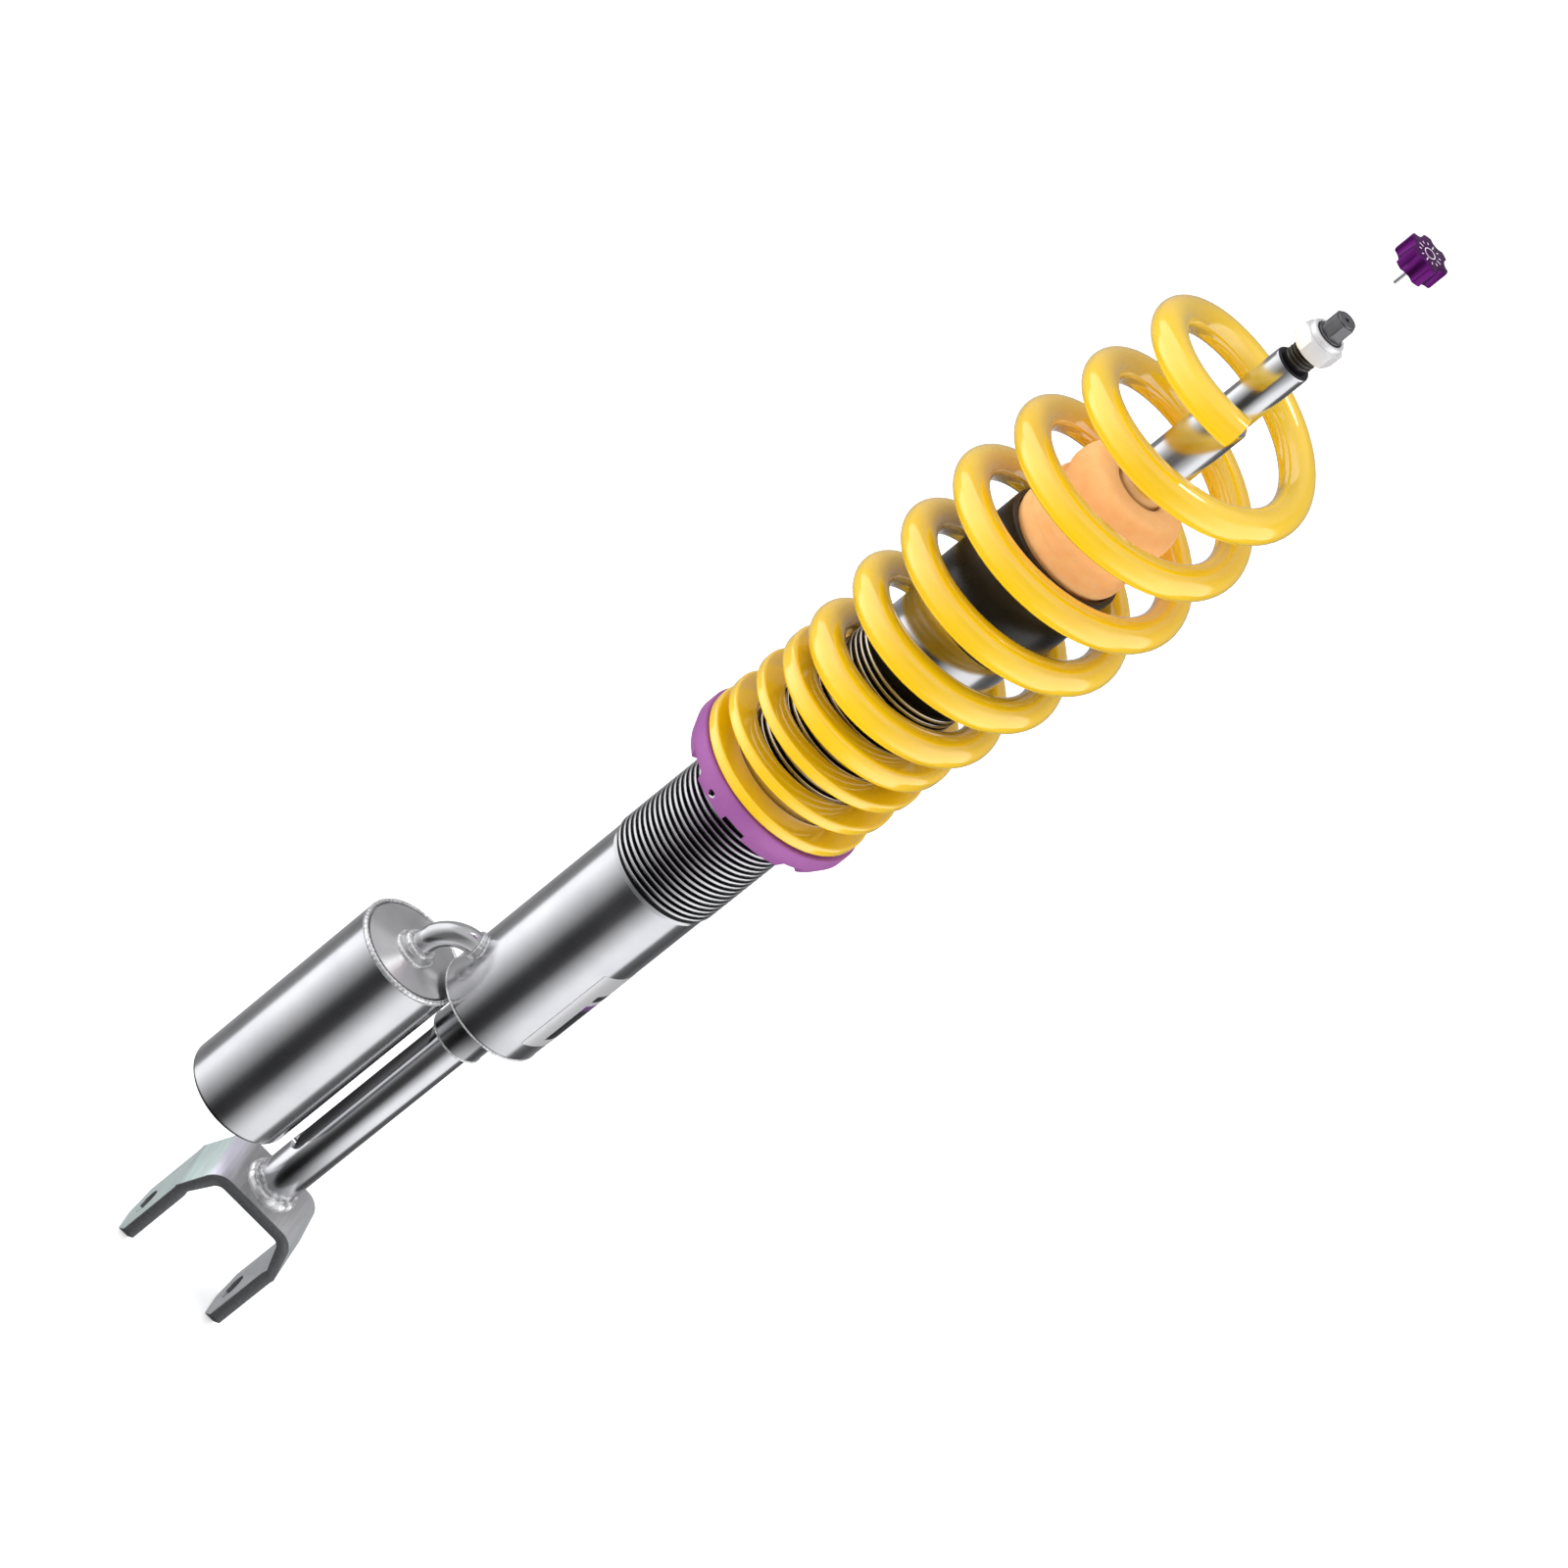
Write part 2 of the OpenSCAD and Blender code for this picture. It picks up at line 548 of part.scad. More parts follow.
fork_bracket();
fork_weld();
leg_bar();
foot_plug();
boss_weld();
strut_tube();
tube_label();
cartridge_tube();
foot_valve();
foot_valve_shims();
rod_guide();
rod_seal();
gland_nut();
rod_wiper();
dust_sleeve();
bump_stop();
reservoir_tube();
reservoir_cap();
reservoir_weld();
reservoir_base();
fill_plug();
reservoir_boss();
boss_ring_weld();
crossover_pipe();
pipe_weld_boss();
pipe_weld_tube();
floating_piston();
floating_seal();
piston_rod();
rebound_stop();
piston();
piston_band();
piston_shims();
piston_nut();
top_nut();
nut_ring();
adjuster_spindle();
knob();
knob_pin();
perch_collar();
perch_screw();
centring_sleeve();
spring();
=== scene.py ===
# %% [markdown]
# A coilover strut is a damper with a spring wound round it. This lesson dresses
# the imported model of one: it keeps the parts whose shape is already right, models
# the ones that need more detail, and gives every surface the finish of the real
# metal, paint, rubber or foam. Everything is in metres, with Z up the damper.

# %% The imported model, as a fixed frame
import math

import bmesh
import bpy
from mathutils import Matrix, Vector, noise


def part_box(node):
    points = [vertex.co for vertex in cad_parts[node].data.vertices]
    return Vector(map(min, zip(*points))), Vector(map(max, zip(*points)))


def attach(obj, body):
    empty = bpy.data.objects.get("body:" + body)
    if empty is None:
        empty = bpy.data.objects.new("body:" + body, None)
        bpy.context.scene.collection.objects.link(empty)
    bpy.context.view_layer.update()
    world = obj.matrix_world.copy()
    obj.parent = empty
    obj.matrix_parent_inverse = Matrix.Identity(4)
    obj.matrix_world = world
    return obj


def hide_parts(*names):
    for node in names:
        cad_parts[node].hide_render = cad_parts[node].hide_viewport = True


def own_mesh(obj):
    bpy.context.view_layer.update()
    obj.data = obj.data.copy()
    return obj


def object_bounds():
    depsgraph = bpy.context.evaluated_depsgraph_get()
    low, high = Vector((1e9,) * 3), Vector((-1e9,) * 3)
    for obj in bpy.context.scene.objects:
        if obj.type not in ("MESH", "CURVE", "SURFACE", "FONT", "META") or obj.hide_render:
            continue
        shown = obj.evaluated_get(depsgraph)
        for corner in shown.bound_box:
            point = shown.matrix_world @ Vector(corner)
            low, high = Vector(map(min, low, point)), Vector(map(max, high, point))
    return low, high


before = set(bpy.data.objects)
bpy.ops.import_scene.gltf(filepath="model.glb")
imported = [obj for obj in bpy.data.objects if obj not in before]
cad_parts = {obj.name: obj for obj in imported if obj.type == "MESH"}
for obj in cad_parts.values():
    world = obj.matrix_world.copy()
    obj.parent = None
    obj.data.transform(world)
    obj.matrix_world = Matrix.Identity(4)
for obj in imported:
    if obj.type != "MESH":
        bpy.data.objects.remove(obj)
MM = 0.001
cad_low, cad_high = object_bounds()
print("nodes", len(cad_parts), "size in mm", [round(v / MM, 1) for v in cad_high - cad_low])

# %% [markdown]
# Most pieces here are turned on a lathe or wound round the damper, so their places
# come down to a few heights and one second axis: the gas reservoir's. They are
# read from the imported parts, so nothing has to be fitted by eye. One angle says
# which side of the strut is its front.

# %% Axes and heights read from the parts
def middle(node):
    low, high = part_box(node)
    return (Vector(low) + Vector(high)) / 2


def bottom(node):
    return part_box(node)[0][2] / MM


def top(node):
    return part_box(node)[1][2] / MM


FRONT = -10.5  # degrees round Z, from -Y to the side that the camera stands on
damper_axis = Vector((0, 0, 0))
reservoir_axis = Vector((middle("reservoir_tube").x, middle("reservoir_tube").y, 0))
pipe_azimuth = math.atan2(reservoir_axis.y, reservoir_axis.x)

# %% [markdown]
# A few short helpers carry the modelling. Some close a bmesh into an object, with
# its doubles merged, its faces pointing outwards and its finish on. The others are
# a lathe: a closed outline in the plane of X and Z, spun once round an axis.

# %% Closing a mesh, and the lathe
STEEP = math.radians(32)  # a bend sharper than this is shaded as an edge
DOUBLES = 0.000001


def finish_piece(shape, name, body, finish, sharp=STEEP):
    bmesh.ops.remove_doubles(shape, verts=shape.verts, dist=DOUBLES)
    bmesh.ops.recalc_face_normals(shape, faces=shape.faces)
    mesh = bpy.data.meshes.new(name)
    shape.to_mesh(mesh)
    shape.free()
    return dress(mesh, name, body, finish, sharp)


def dress(mesh, name, body, finish, sharp=STEEP):
    for each in finish if isinstance(finish, (list, tuple)) else [finish]:
        mesh.materials.append(each)
    mesh.shade_smooth()
    mesh.set_sharp_from_angle(angle=sharp)
    piece = bpy.data.objects.new(name, mesh)
    bpy.context.scene.collection.objects.link(piece)
    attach(piece, body)
    print(name, len(mesh.polygons), "faces")
    return piece


def outline(shape, points):
    """Verts at (radius, height) in millimetres, joined by edges into a closed outline."""
    verts = [shape.verts.new((r * MM, 0, z * MM)) for r, z in points]
    return verts + [shape.edges.new(pair) for pair in zip(verts, verts[1:] + verts[:1])]


def spun_once(shape, geom, segments):
    bmesh.ops.spin(shape, geom=geom, cent=(0, 0, 0), axis=(0, 0, 1), angle=math.tau,
                   steps=segments, use_merge=True)


def lathe(points, axis=damper_axis, segments=128):
    shape = bmesh.new()
    spun_once(shape, outline(shape, points), segments)
    bmesh.ops.translate(shape, verts=shape.verts, vec=axis)
    return shape


# %% [markdown]
# Parts that are milled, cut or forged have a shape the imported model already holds,
# but real edges are never perfectly sharp: a file or a tumbling drum has been over
# them. A merged copy with its sharp edges bevelled catches a thin line of light
# along each edge, which is what makes a metal part look solid.

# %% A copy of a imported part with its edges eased
def merged_copy(node):
    shape = bmesh.new()
    shape.from_mesh(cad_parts[node].data)
    bmesh.ops.remove_doubles(shape, verts=shape.verts, dist=2 * DOUBLES)
    return shape


def round_edges(shape, edges, width, segments):
    bmesh.ops.bevel(shape, geom=edges, offset=width * MM, offset_type="OFFSET", affect="EDGES",
                    segments=segments, profile=0.5, material=-1, clamp_overlap=True)


def eased(node, width, steeper=40):
    """Edges that bend by more than steeper degrees get a round about width mm wide."""
    shape = merged_copy(node)
    bmesh.ops.dissolve_limit(shape, angle_limit=math.radians(0.3), verts=shape.verts,
                             edges=shape.edges)
    sharp = [e for e in shape.edges if len(e.link_faces) == 2
             and e.calc_face_angle(0) > math.radians(steeper)]
    round_edges(shape, sharp, width, segments=2)
    print(node, "edges eased", len(sharp))
    return shape


# %% [markdown]
# Materials are node graphs. A few helpers keep them readable: they turn a paint
# chip's hex value into linear light, add a node with its settings and links, start
# a material from the numbers of its real surface, and draw its grain and relief.

# %% Colour and node helpers
def chip(value):
    channels = [int(value[i:i + 2], 16) / 255 for i in (1, 3, 5)]
    return (*[c / 12.92 if c <= 0.04045 else ((c + 0.055) / 1.055) ** 2.4 for c in channels], 1)


def add(tree, kind, inputs=(), **settings):
    """One node: settings are its properties, inputs are values or sockets to link."""
    made = tree.nodes.new(kind)
    for key, value in settings.items():
        setattr(made, key, value)
    for key, value in dict(inputs).items():
        if isinstance(value, bpy.types.NodeSocket):
            tree.links.new(value, made.inputs[key])
        else:
            made.inputs[key].default_value = value
    return made


def finish_of(name, **surface):
    material = bpy.data.materials.new(name)
    material.use_nodes = True
    tree = material.node_tree
    shader = tree.nodes["Principled BSDF"]
    for key, value in surface.items():
        shader.inputs[key.replace("_", " ")].default_value = value
    place = add(tree, "ShaderNodeTexCoord").outputs["Object"]
    print("finish", name)
    return material, tree, shader, place


def shades(tree, source, stops, interpolation="LINEAR"):
    """A ramp from a 0 to 1 source through (position, colour) stops."""
    ramp = add(tree, "ShaderNodeValToRGB", {"Fac": source})
    ramp.color_ramp.interpolation = interpolation
    while len(ramp.color_ramp.elements) < len(stops):
        ramp.color_ramp.elements.new(0.5)
    for element, (position, colour) in zip(ramp.color_ramp.elements, stops):
        element.position, element.color = position, colour
    return ramp.outputs["Color"]


def grain(tree, place, across_mm, stretch=(1, 1, 1), detail=3.0):
    """Noise whose features are about across_mm wide, squeezed by stretch."""
    mapped = add(tree, "ShaderNodeMapping", {"Vector": place, "Scale": stretch}).outputs["Vector"]
    return add(tree, "ShaderNodeTexNoise", {"Vector": mapped, "Scale": 1 / (across_mm * MM),
                                            "Detail": detail}).outputs["Fac"]


def span(tree, source, low, high):
    """A 0 to 1 source carried to the range low..high."""
    return add(tree, "ShaderNodeMapRange", {"Value": source, "To Min": low, "To Max": high}
               ).outputs["Result"]


def coloured(tree, shader, source, stops):
    tree.links.new(shades(tree, source, stops), shader.inputs["Base Color"])


def roughened(tree, shader, source, low, high):
    tree.links.new(span(tree, source, low, high), shader.inputs["Roughness"])


def relief(tree, shader, height, depth_mm, strength=1.0, under=None):
    inputs = {"Height": height, "Distance": depth_mm * MM, "Strength": strength}
    if under is not None:
        inputs["Normal"] = under
    bump = add(tree, "ShaderNodeBump", inputs).outputs["Normal"]
    tree.links.new(bump, shader.inputs["Normal"])
    return bump


# %% [markdown]
# The damper tube, the leg and the reservoir are drawn steel tube, ground and
# polished, then plated thin and bright. Grinding runs round the tube, so its faint
# lines stretch the reflection a little; handling leaves soft smudges. The polish
# decides everything here: the surface is a mirror with slightly blurred edges.

# %% Polished steel
def polished_steel():
    finish, tree, shader, place = finish_of("polished_plated_steel", Metallic=1.0)
    # the eye gets a bright neutral mirror with cloudy dull patches a few centimetres wide
    smudge = grain(tree, place, 26, detail=4)
    lines = grain(tree, place, 3.0, stretch=(1, 1, 9))  # grinding lines, drawn coarser than real
    coloured(tree, shader, smudge, [(0.3, chip("#D9DADD")), (0.7, chip("#EAEAEC"))])
    roughened(tree, shader, smudge, 0.13, 0.23)
    relief(tree, shader, lines, 0.004, 0.5)
    return finish


POLISHED = polished_steel()

# %% [markdown]
# The reservoir's caps, the perch's centring ring and the boss are turned on a
# lathe. A turning tool leaves rings round the part's own axis, so the pattern has
# to be centred there: a Mapping node moves it to the reservoir's axis.

# %% Turned steel
def turned_steel(name, axis):
    finish, tree, shader, place = finish_of(name, Metallic=1.0, Anisotropic=0.85)
    # the eye gets bright and dark wedges that meet at the middle, as on a record
    out = add(tree, "ShaderNodeMapping", {"Vector": place, "Location": -axis,
                                          "Scale": (1, 1, 0)}).outputs["Vector"]
    tree.links.new(out, shader.inputs["Tangent"])  # the shine spreads across the rings
    spacing = 0.8 * MM  # a real feed is nearer 0.1 mm; drawn coarser to show
    rings = add(tree, "ShaderNodeTexWave", {"Vector": out, "Scale": math.pi / 10 / spacing,
                                            "Distortion": 0.2, "Detail": 1.0},
                wave_type="RINGS", rings_direction="Z").outputs["Fac"]
    patch = grain(tree, place, 14)
    coloured(tree, shader, patch, [(0.3, chip("#E0E0E2")), (0.7, chip("#F0F0F1"))])
    roughened(tree, shader, patch, 0.28, 0.36)
    reach = add(tree, "ShaderNodeVectorMath", {0: out}, operation="LENGTH").outputs["Value"]
    dome = add(tree, "ShaderNodeBump", {"Height": reach, "Distance": 0.2, "Strength": 1.0},
               invert=True).outputs["Normal"]  # faced a little fuller in the middle
    relief(tree, shader, rings, 0.008, 0.25, under=dome)
    return finish


TURNED = turned_steel("turned_bright_steel", damper_axis)
RESERVOIR_TURNED = turned_steel("turned_reservoir_steel", reservoir_axis)

# %% [markdown]
# A weld is steel that froze in small steps. The bead stays bright under its
# plating, lumpy and a bit glassy, with duller heat marks beside it.

# %% Weld bead
def weld_metal():
    finish, tree, shader, place = finish_of("plated_weld_bead", Metallic=0.82)
    # the eye gets sharp glints on lumps, between duller crusted spots
    crust = grain(tree, place, 2.2, detail=4)
    coloured(tree, shader, crust, [(0.3, chip("#D2D3D5")), (0.55, chip("#F6F6F7"))])
    roughened(tree, shader, crust, 0.34, 0.14)
    relief(tree, shader, crust, 0.02, 0.2)
    return finish


WELD = weld_metal()

# %% [markdown]
# The fork is a strip of plate, cut to outline, bent hot and zinc plated. Its broad
# faces are light and slightly satin; passivation tints the left arm mint and lilac,
# and the colour runs darker grey across the middle and paler on the right. The cut
# edges are rougher and darker, with fine lines across the strip.

# %% Zinc plate and its cut edge
def zinc_plate():
    finish, tree, shader, place = finish_of("zinc_plated_steel_plate", Metallic=0.55)
    # the eye gets faint rolling lines across the strip, mint and lilac on the left arm, darker grey
    # across the middle and paler on the right
    low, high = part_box("fork_bracket")
    along = add(tree, "ShaderNodeMapRange", {
        "Value": add(tree, "ShaderNodeSeparateXYZ", {"Vector": place}).outputs["X"],
        "From Min": low[0], "From Max": high[0]}).outputs["Result"]
    lines = grain(tree, place, 1.2, stretch=(1, 0.06, 1), detail=4)
    drift = shades(tree, along, [(0.0, chip("#C6D2D1")), (0.02, chip("#E4FAF5")),
                                 (0.09, chip("#E8F8F6")), (0.11, chip("#EAE6F6")),
                                 (0.19, chip("#DCDAE4")), (0.25, chip("#B2B2B4")),
                                 (0.6, chip("#A9A9AB")), (0.84, chip("#CFCFD2")),
                                 (1.0, chip("#BCC6C6"))])
    brushed = shades(tree, lines, [(0.3, chip("#ECECEE")), (0.7, chip("#FFFFFF"))])
    tree.links.new(add(tree, "ShaderNodeMix", {"Factor": 1.0, "A": drift, "B": brushed},
                       data_type="RGBA", blend_type="MULTIPLY").outputs["Result"],
                   shader.inputs["Base Color"])
    roughened(tree, shader, lines, 0.24, 0.36)
    relief(tree, shader, lines, 0.012, 0.3)
    return finish


def cut_edge():
    finish, tree, shader, place = finish_of("flame_cut_plate_edge", Metallic=0.85)
    # the eye gets a dark band with faint drag lines straight through the plate
    drag = grain(tree, place, 1.4, stretch=(1, 0.08, 1), detail=4)
    coloured(tree, shader, drag, [(0.35, chip("#77787A")), (0.65, chip("#828386"))])
    roughened(tree, shader, drag, 0.38, 0.46)
    relief(tree, shader, drag, 0.02, 0.25)
    return finish


ZINC_PLATE, CUT_EDGE = zinc_plate(), cut_edge()

# %% [markdown]
# The piston rod is ground and hard chromed. It is the smoothest surface on the
# strut: only faint blurring, because a rough rod would eat its seal.

# %% Hard chrome
def hard_chrome():
    finish, tree, shader, place = finish_of("hard_chromed_rod", Metallic=1.0)
    # the eye gets a near perfect mirror with the slightest blue
    haze = grain(tree, place, 9, stretch=(1, 1, 0.4))
    coloured(tree, shader, haze, [(0.3, chip("#DDDFE2")), (0.7, chip("#E9EAEC"))])
    roughened(tree, shader, haze, 0.13, 0.2)
    return finish


CHROME = hard_chrome()

# %% [markdown]
# The spring is wound from chrome silicon steel, shot peened, and powder coated in
# a glossy yellow. Powder flows as it bakes, but leaves a slow ripple called orange
# peel. The layer is thick and clear on top, so it shines like enamel.

# %% Powder coat
def powder_coat():
    finish, tree, shader, place = finish_of("yellow_powder_coat", Metallic=0.0, IOR=1.55,
                                            Coat_Weight=1.0, Coat_Roughness=0.03, Coat_IOR=2.0)
    # the eye gets a deep warm yellow, sharp highlights and a slow ripple in them
    cloud = grain(tree, place, 40, detail=1.5)
    peel = grain(tree, place, 3.2, detail=1.0)
    coloured(tree, shader, cloud, [(0.3, chip("#EDBE04")), (0.7, chip("#F3C808"))])
    roughened(tree, shader, peel, 0.16, 0.26)
    relief(tree, shader, peel, 0.02, 0.12)
    return finish


POWDER = powder_coat()

# %% [markdown]
# The perch collar and the adjuster knob are anodised aluminium. Anodising grows a
# clear layer of oxide that drinks in dye, over metal that still shines through
# it. The collar was blasted first and is matt; the knob is turned and darker.

# %% Anodised aluminium
def anodised(name, low, high, rough, metal):
    finish, tree, shader, place = finish_of(name, Metallic=metal)
    # the eye gets colour in the highlights too, with a fine even sparkle from blasting
    dye = grain(tree, place, 18)
    blasted = grain(tree, place, 0.7)  # the real grit is about 0.1 mm; drawn coarser to show
    coloured(tree, shader, dye, [(0.3, chip(low)), (0.7, chip(high))])
    roughened(tree, shader, blasted, rough - 0.05, rough + 0.06)
    relief(tree, shader, blasted, 0.012, 0.3)
    return finish


COLLAR_PURPLE = anodised("blasted_purple_anodised_aluminium", "#98559A", "#A35F9F", 0.46, 0.2)
KNOB_PURPLE = anodised("turned_purple_anodised_aluminium", "#5A1064", "#6C1A78", 0.25, 0.85)

# %% [markdown]
# The bump stop is microcellular polyurethane: a stiff foam with a skin that was
# cast against a smooth mould. Light sinks a few millimetres into it, which is why
# it looks warm and soft beside the metal.

# %% Polyurethane foam
def foam_skin():
    finish, tree, shader, place = finish_of(
        "cast_polyurethane_foam", IOR=1.45, Subsurface_Weight=0.35, Subsurface_Scale=0.004,
        Subsurface_Radius=(1.0, 0.55, 0.3))
    # the eye gets a matt peach with pores like fine bread and slightly paler ridges
    pores = add(tree, "ShaderNodeTexVoronoi", {"Vector": place, "Scale": 1 / (0.9 * MM)},
                feature="F1").outputs["Distance"]
    mottle = grain(tree, place, 6, detail=4)
    coloured(tree, shader, mottle, [(0.25, chip("#FABD7C")), (0.75, chip("#FFCA8D"))])
    roughened(tree, shader, mottle, 0.5, 0.62)
    relief(tree, shader, pores, 0.03, 0.2)
    return finish


FOAM = foam_skin()

# %% [markdown]
# Black parts are never just black. The dust sleeve is moulded polyamide with a
# satin skin, the seals are nitrile rubber, and nuts and screws inside are steel
# blackened in hot salts, which leaves a thin oily brown-black film.

# %% Black plastic, rubber and blackened steel
def black_surface(name, dark, pale, rough, across, metal=0.0, depth=0.01):
    finish, tree, shader, place = finish_of(name, Metallic=metal, IOR=1.5)
    # the eye gets a soft highlight that breaks up slightly over a fine mould texture
    texture = grain(tree, place, across, detail=3)
    worn = grain(tree, place, 12, detail=3)
    coloured(tree, shader, worn, [(0.35, chip(dark)), (0.7, chip(pale))])
    roughened(tree, shader, worn, rough - 0.05, rough + 0.07)
    relief(tree, shader, texture, depth, 0.4)
    return finish


BLACK_SLEEVE = black_surface("moulded_black_polyamide", "#141414", "#1C1C1D", 0.28, 1.2)
RUBBER = black_surface("nitrile_rubber", "#121212", "#1D1D1C", 0.5, 0.8)
BLACK_STEEL = black_surface("blackened_steel", "#26262A", "#36353A", 0.3, 1.0, metal=0.8)
# painted shade: the thread's root and lower flanks are painted near black for the shade in its
# grooves
THREAD_GROOVE_SHADE = black_surface("painted_shade_thread_root", "#0C0C0E", "#18181A", 0.34, 1.0, metal=0.7)
# bare milled steel, its colour painted far darker: a painted dark reflection on the leg's flat
MILLED_FLAT_DARK_REFLECTION = black_surface("milled_flat_painted_dark_reflection", "#3A3B3E", "#505155", 0.2, 1.0, metal=1.0)
WORN_BLACK = black_surface("worn_black_thread", "#4A4744", "#6A6560", 0.3, 1.0, metal=0.9)
STUB_STEEL = black_surface("phosphated_steel", "#77777A", "#8E8E91", 0.36, 0.9, metal=0.85)

# %% [markdown]
# The top nut is bright zinc, almost white. The small pin on the knob is drawn
# stainless wire. Hidden inside are sintered bronze, plain aluminium and bare steel.

# %% Bright zinc, bronze, aluminium and bare steel
def plain_metal(name, low, high, rough, across=5.0, depth=0.006):
    finish, tree, shader, place = finish_of(name, Metallic=1.0)
    # the eye gets small drifts of brightness from handling and plating
    drift = grain(tree, place, across, detail=4)
    coloured(tree, shader, drift, [(0.3, chip(low)), (0.7, chip(high))])
    roughened(tree, shader, drift, rough - 0.05, rough + 0.07)
    relief(tree, shader, grain(tree, place, 0.9), depth, 0.3)
    return finish


BRIGHT_ZINC = plain_metal("bright_zinc_plate", "#F2F1F2", "#FAFAFA", 0.42)
BRIGHT_ZINC.node_tree.nodes["Principled BSDF"].inputs["Metallic"].default_value = 0.6
PIN_WIRE = plain_metal("drawn_stainless_wire", "#C9C9D0", "#DEDEE4", 0.15, across=2)
BRONZE = plain_metal("sintered_bronze", "#8E6A3C", "#A88350", 0.42, across=1.5, depth=0.03)
BARE_STEEL = plain_metal("bare_machined_steel", "#A6A7AA", "#BDBEC1", 0.3)
ALUMINIUM = plain_metal("machined_aluminium", "#C6C7CA", "#D8D8DA", 0.28)

# %% [markdown]
# The maker's sticker on the tube is left blank: a thin foil with plain printed
# blocks. The blocks follow the tube, by height and by angle round it.

# %% Foil label
def foil_label():
    finish, tree, shader, place = finish_of("blank_foil_label", Metallic=0.55, Roughness=0.3)
    # the eye gets a silvery film with a dark panel and one purple stripe, no lettering
    parts = add(tree, "ShaderNodeSeparateXYZ", {"Vector": place}).outputs
    low, high = bottom("tube_label") * MM, top("tube_label") * MM
    along = add(tree, "ShaderNodeMapRange", {"Value": parts["Z"], "From Min": low,
                                             "From Max": high}).outputs["Result"]
    turn = add(tree, "ShaderNodeMath", {0: parts["Y"], 1: parts["X"]},
               operation="ARCTAN2").outputs[0]
    around = add(tree, "ShaderNodeMapRange", {"Value": turn, "From Min": math.radians(-54.5),
                                              "From Max": math.radians(25.5)}).outputs["Result"]
    silver, dark, purple = chip("#D8D8DA"), chip("#2A2A2D"), chip("#7A4A8C")
    length = shades(tree, along, [(0.0, silver), (0.1, dark), (0.52, purple), (0.6, silver),
                                  (0.66, dark), (0.74, silver)], "CONSTANT")
    band = shades(tree, around, [(0.0, (0, 0, 0, 1)), (0.24, (1, 1, 1, 1)), (0.86, (0, 0, 0, 1))],
                  "CONSTANT")
    mixed = add(tree, "ShaderNodeMix", {"Factor": band, "A": silver, "B": length}, data_type="RGBA")
    tree.links.new(mixed.outputs["Result"], shader.inputs["Base Color"])
    relief(tree, shader, grain(tree, place, 7), 0.01, 0.4)
    return finish


LABEL = foil_label()

# %% [markdown]
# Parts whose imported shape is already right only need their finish. Each packed
# node keeps its mesh; its material slots are given the finish of its real metal.

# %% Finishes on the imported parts
KEEP_SHAPE = {
    "tube_label": LABEL, "cartridge_tube": BARE_STEEL, "foot_valve": BRONZE,
    "foot_valve_shims": BARE_STEEL, "rod_guide": BRONZE, "rod_seal": RUBBER,
    "gland_nut": BLACK_STEEL, "rod_wiper": RUBBER, "reservoir_cap": RESERVOIR_TURNED,
    "reservoir_base": RESERVOIR_TURNED, "fill_plug": BRONZE, "crossover_pipe": POLISHED,
    "reservoir_boss": RESERVOIR_TURNED, "floating_piston": ALUMINIUM, "floating_seal": RUBBER,
    "rebound_stop": BRONZE, "piston": BRONZE, "piston_band": BLACK_SLEEVE,
    "piston_shims": BARE_STEEL, "piston_nut": BLACK_STEEL, "adjuster_spindle": BRONZE,
    "knob_pin": PIN_WIRE, "centring_sleeve": TURNED,
}
for node, finish in KEEP_SHAPE.items():
    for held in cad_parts[node].material_slots:
        held.material = finish
print("packed parts finished", len(KEEP_SHAPE))

# %% [markdown]
# The fork is one strip of plate bent over twice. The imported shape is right; its
# edges are eased as a deburring wheel leaves them, and the faces made by the
# torch, which look along the strip's width, take the darker cut finish.

# %% The fork
fork_shape = eased("fork_bracket", 0.45)
for face in fork_shape.faces:
    torch_cut = abs(face.normal.y) > 0.3 or face.normal.z < -0.8
    face.material_index = 1 if torch_cut else 0
fork = finish_piece(fork_shape, "fork_plate", "strut", [ZINC_PLATE, CUT_EDGE])
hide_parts("fork_bracket")

# %% [markdown]
# A weld bead can be painted on with a bump, but its outline would stay smooth. Here
# a small round section is spun round the joint, and every point is then pushed
# out or in by how the puddle froze: a scallop each few millimetres, never equal.

# %% Weld beads
def frozen(angle, ripples, seed):
    step = angle / math.tau * ripples
    scallop = abs(math.sin(math.pi * step))
    lump = noise.noise(Vector((math.cos(angle) * 2.2, math.sin(angle) * 2.2, seed)))
    crumb = noise.noise(Vector((math.cos(angle) * 9, math.sin(angle) * 9, seed)))
    return 0.88 + 0.14 * scallop + 0.14 * lump + 0.02 * crumb


def weld_ring(axis, radius, height, across, tall, ripples, seed):
    shape = bmesh.new()
    ring = bmesh.ops.create_circle(shape, segments=10, radius=1.0)["verts"]
    for vert in ring:
        x, z = vert.co.x * across * MM, vert.co.y * tall * MM
        vert.co = Vector(((radius * MM) + x, 0, height * MM + z))
    spun_once(shape, ring + shape.edges[:], ripples * 6)
    for vert in shape.verts:
        angle = math.atan2(vert.co.y, vert.co.x)
        heart = Vector((math.cos(angle) * radius * MM, math.sin(angle) * radius * MM, height * MM))
        vert.co = heart + (vert.co - heart) * frozen(angle, ripples, seed)
    bmesh.ops.translate(shape, verts=shape.verts, vec=axis)
    return shape


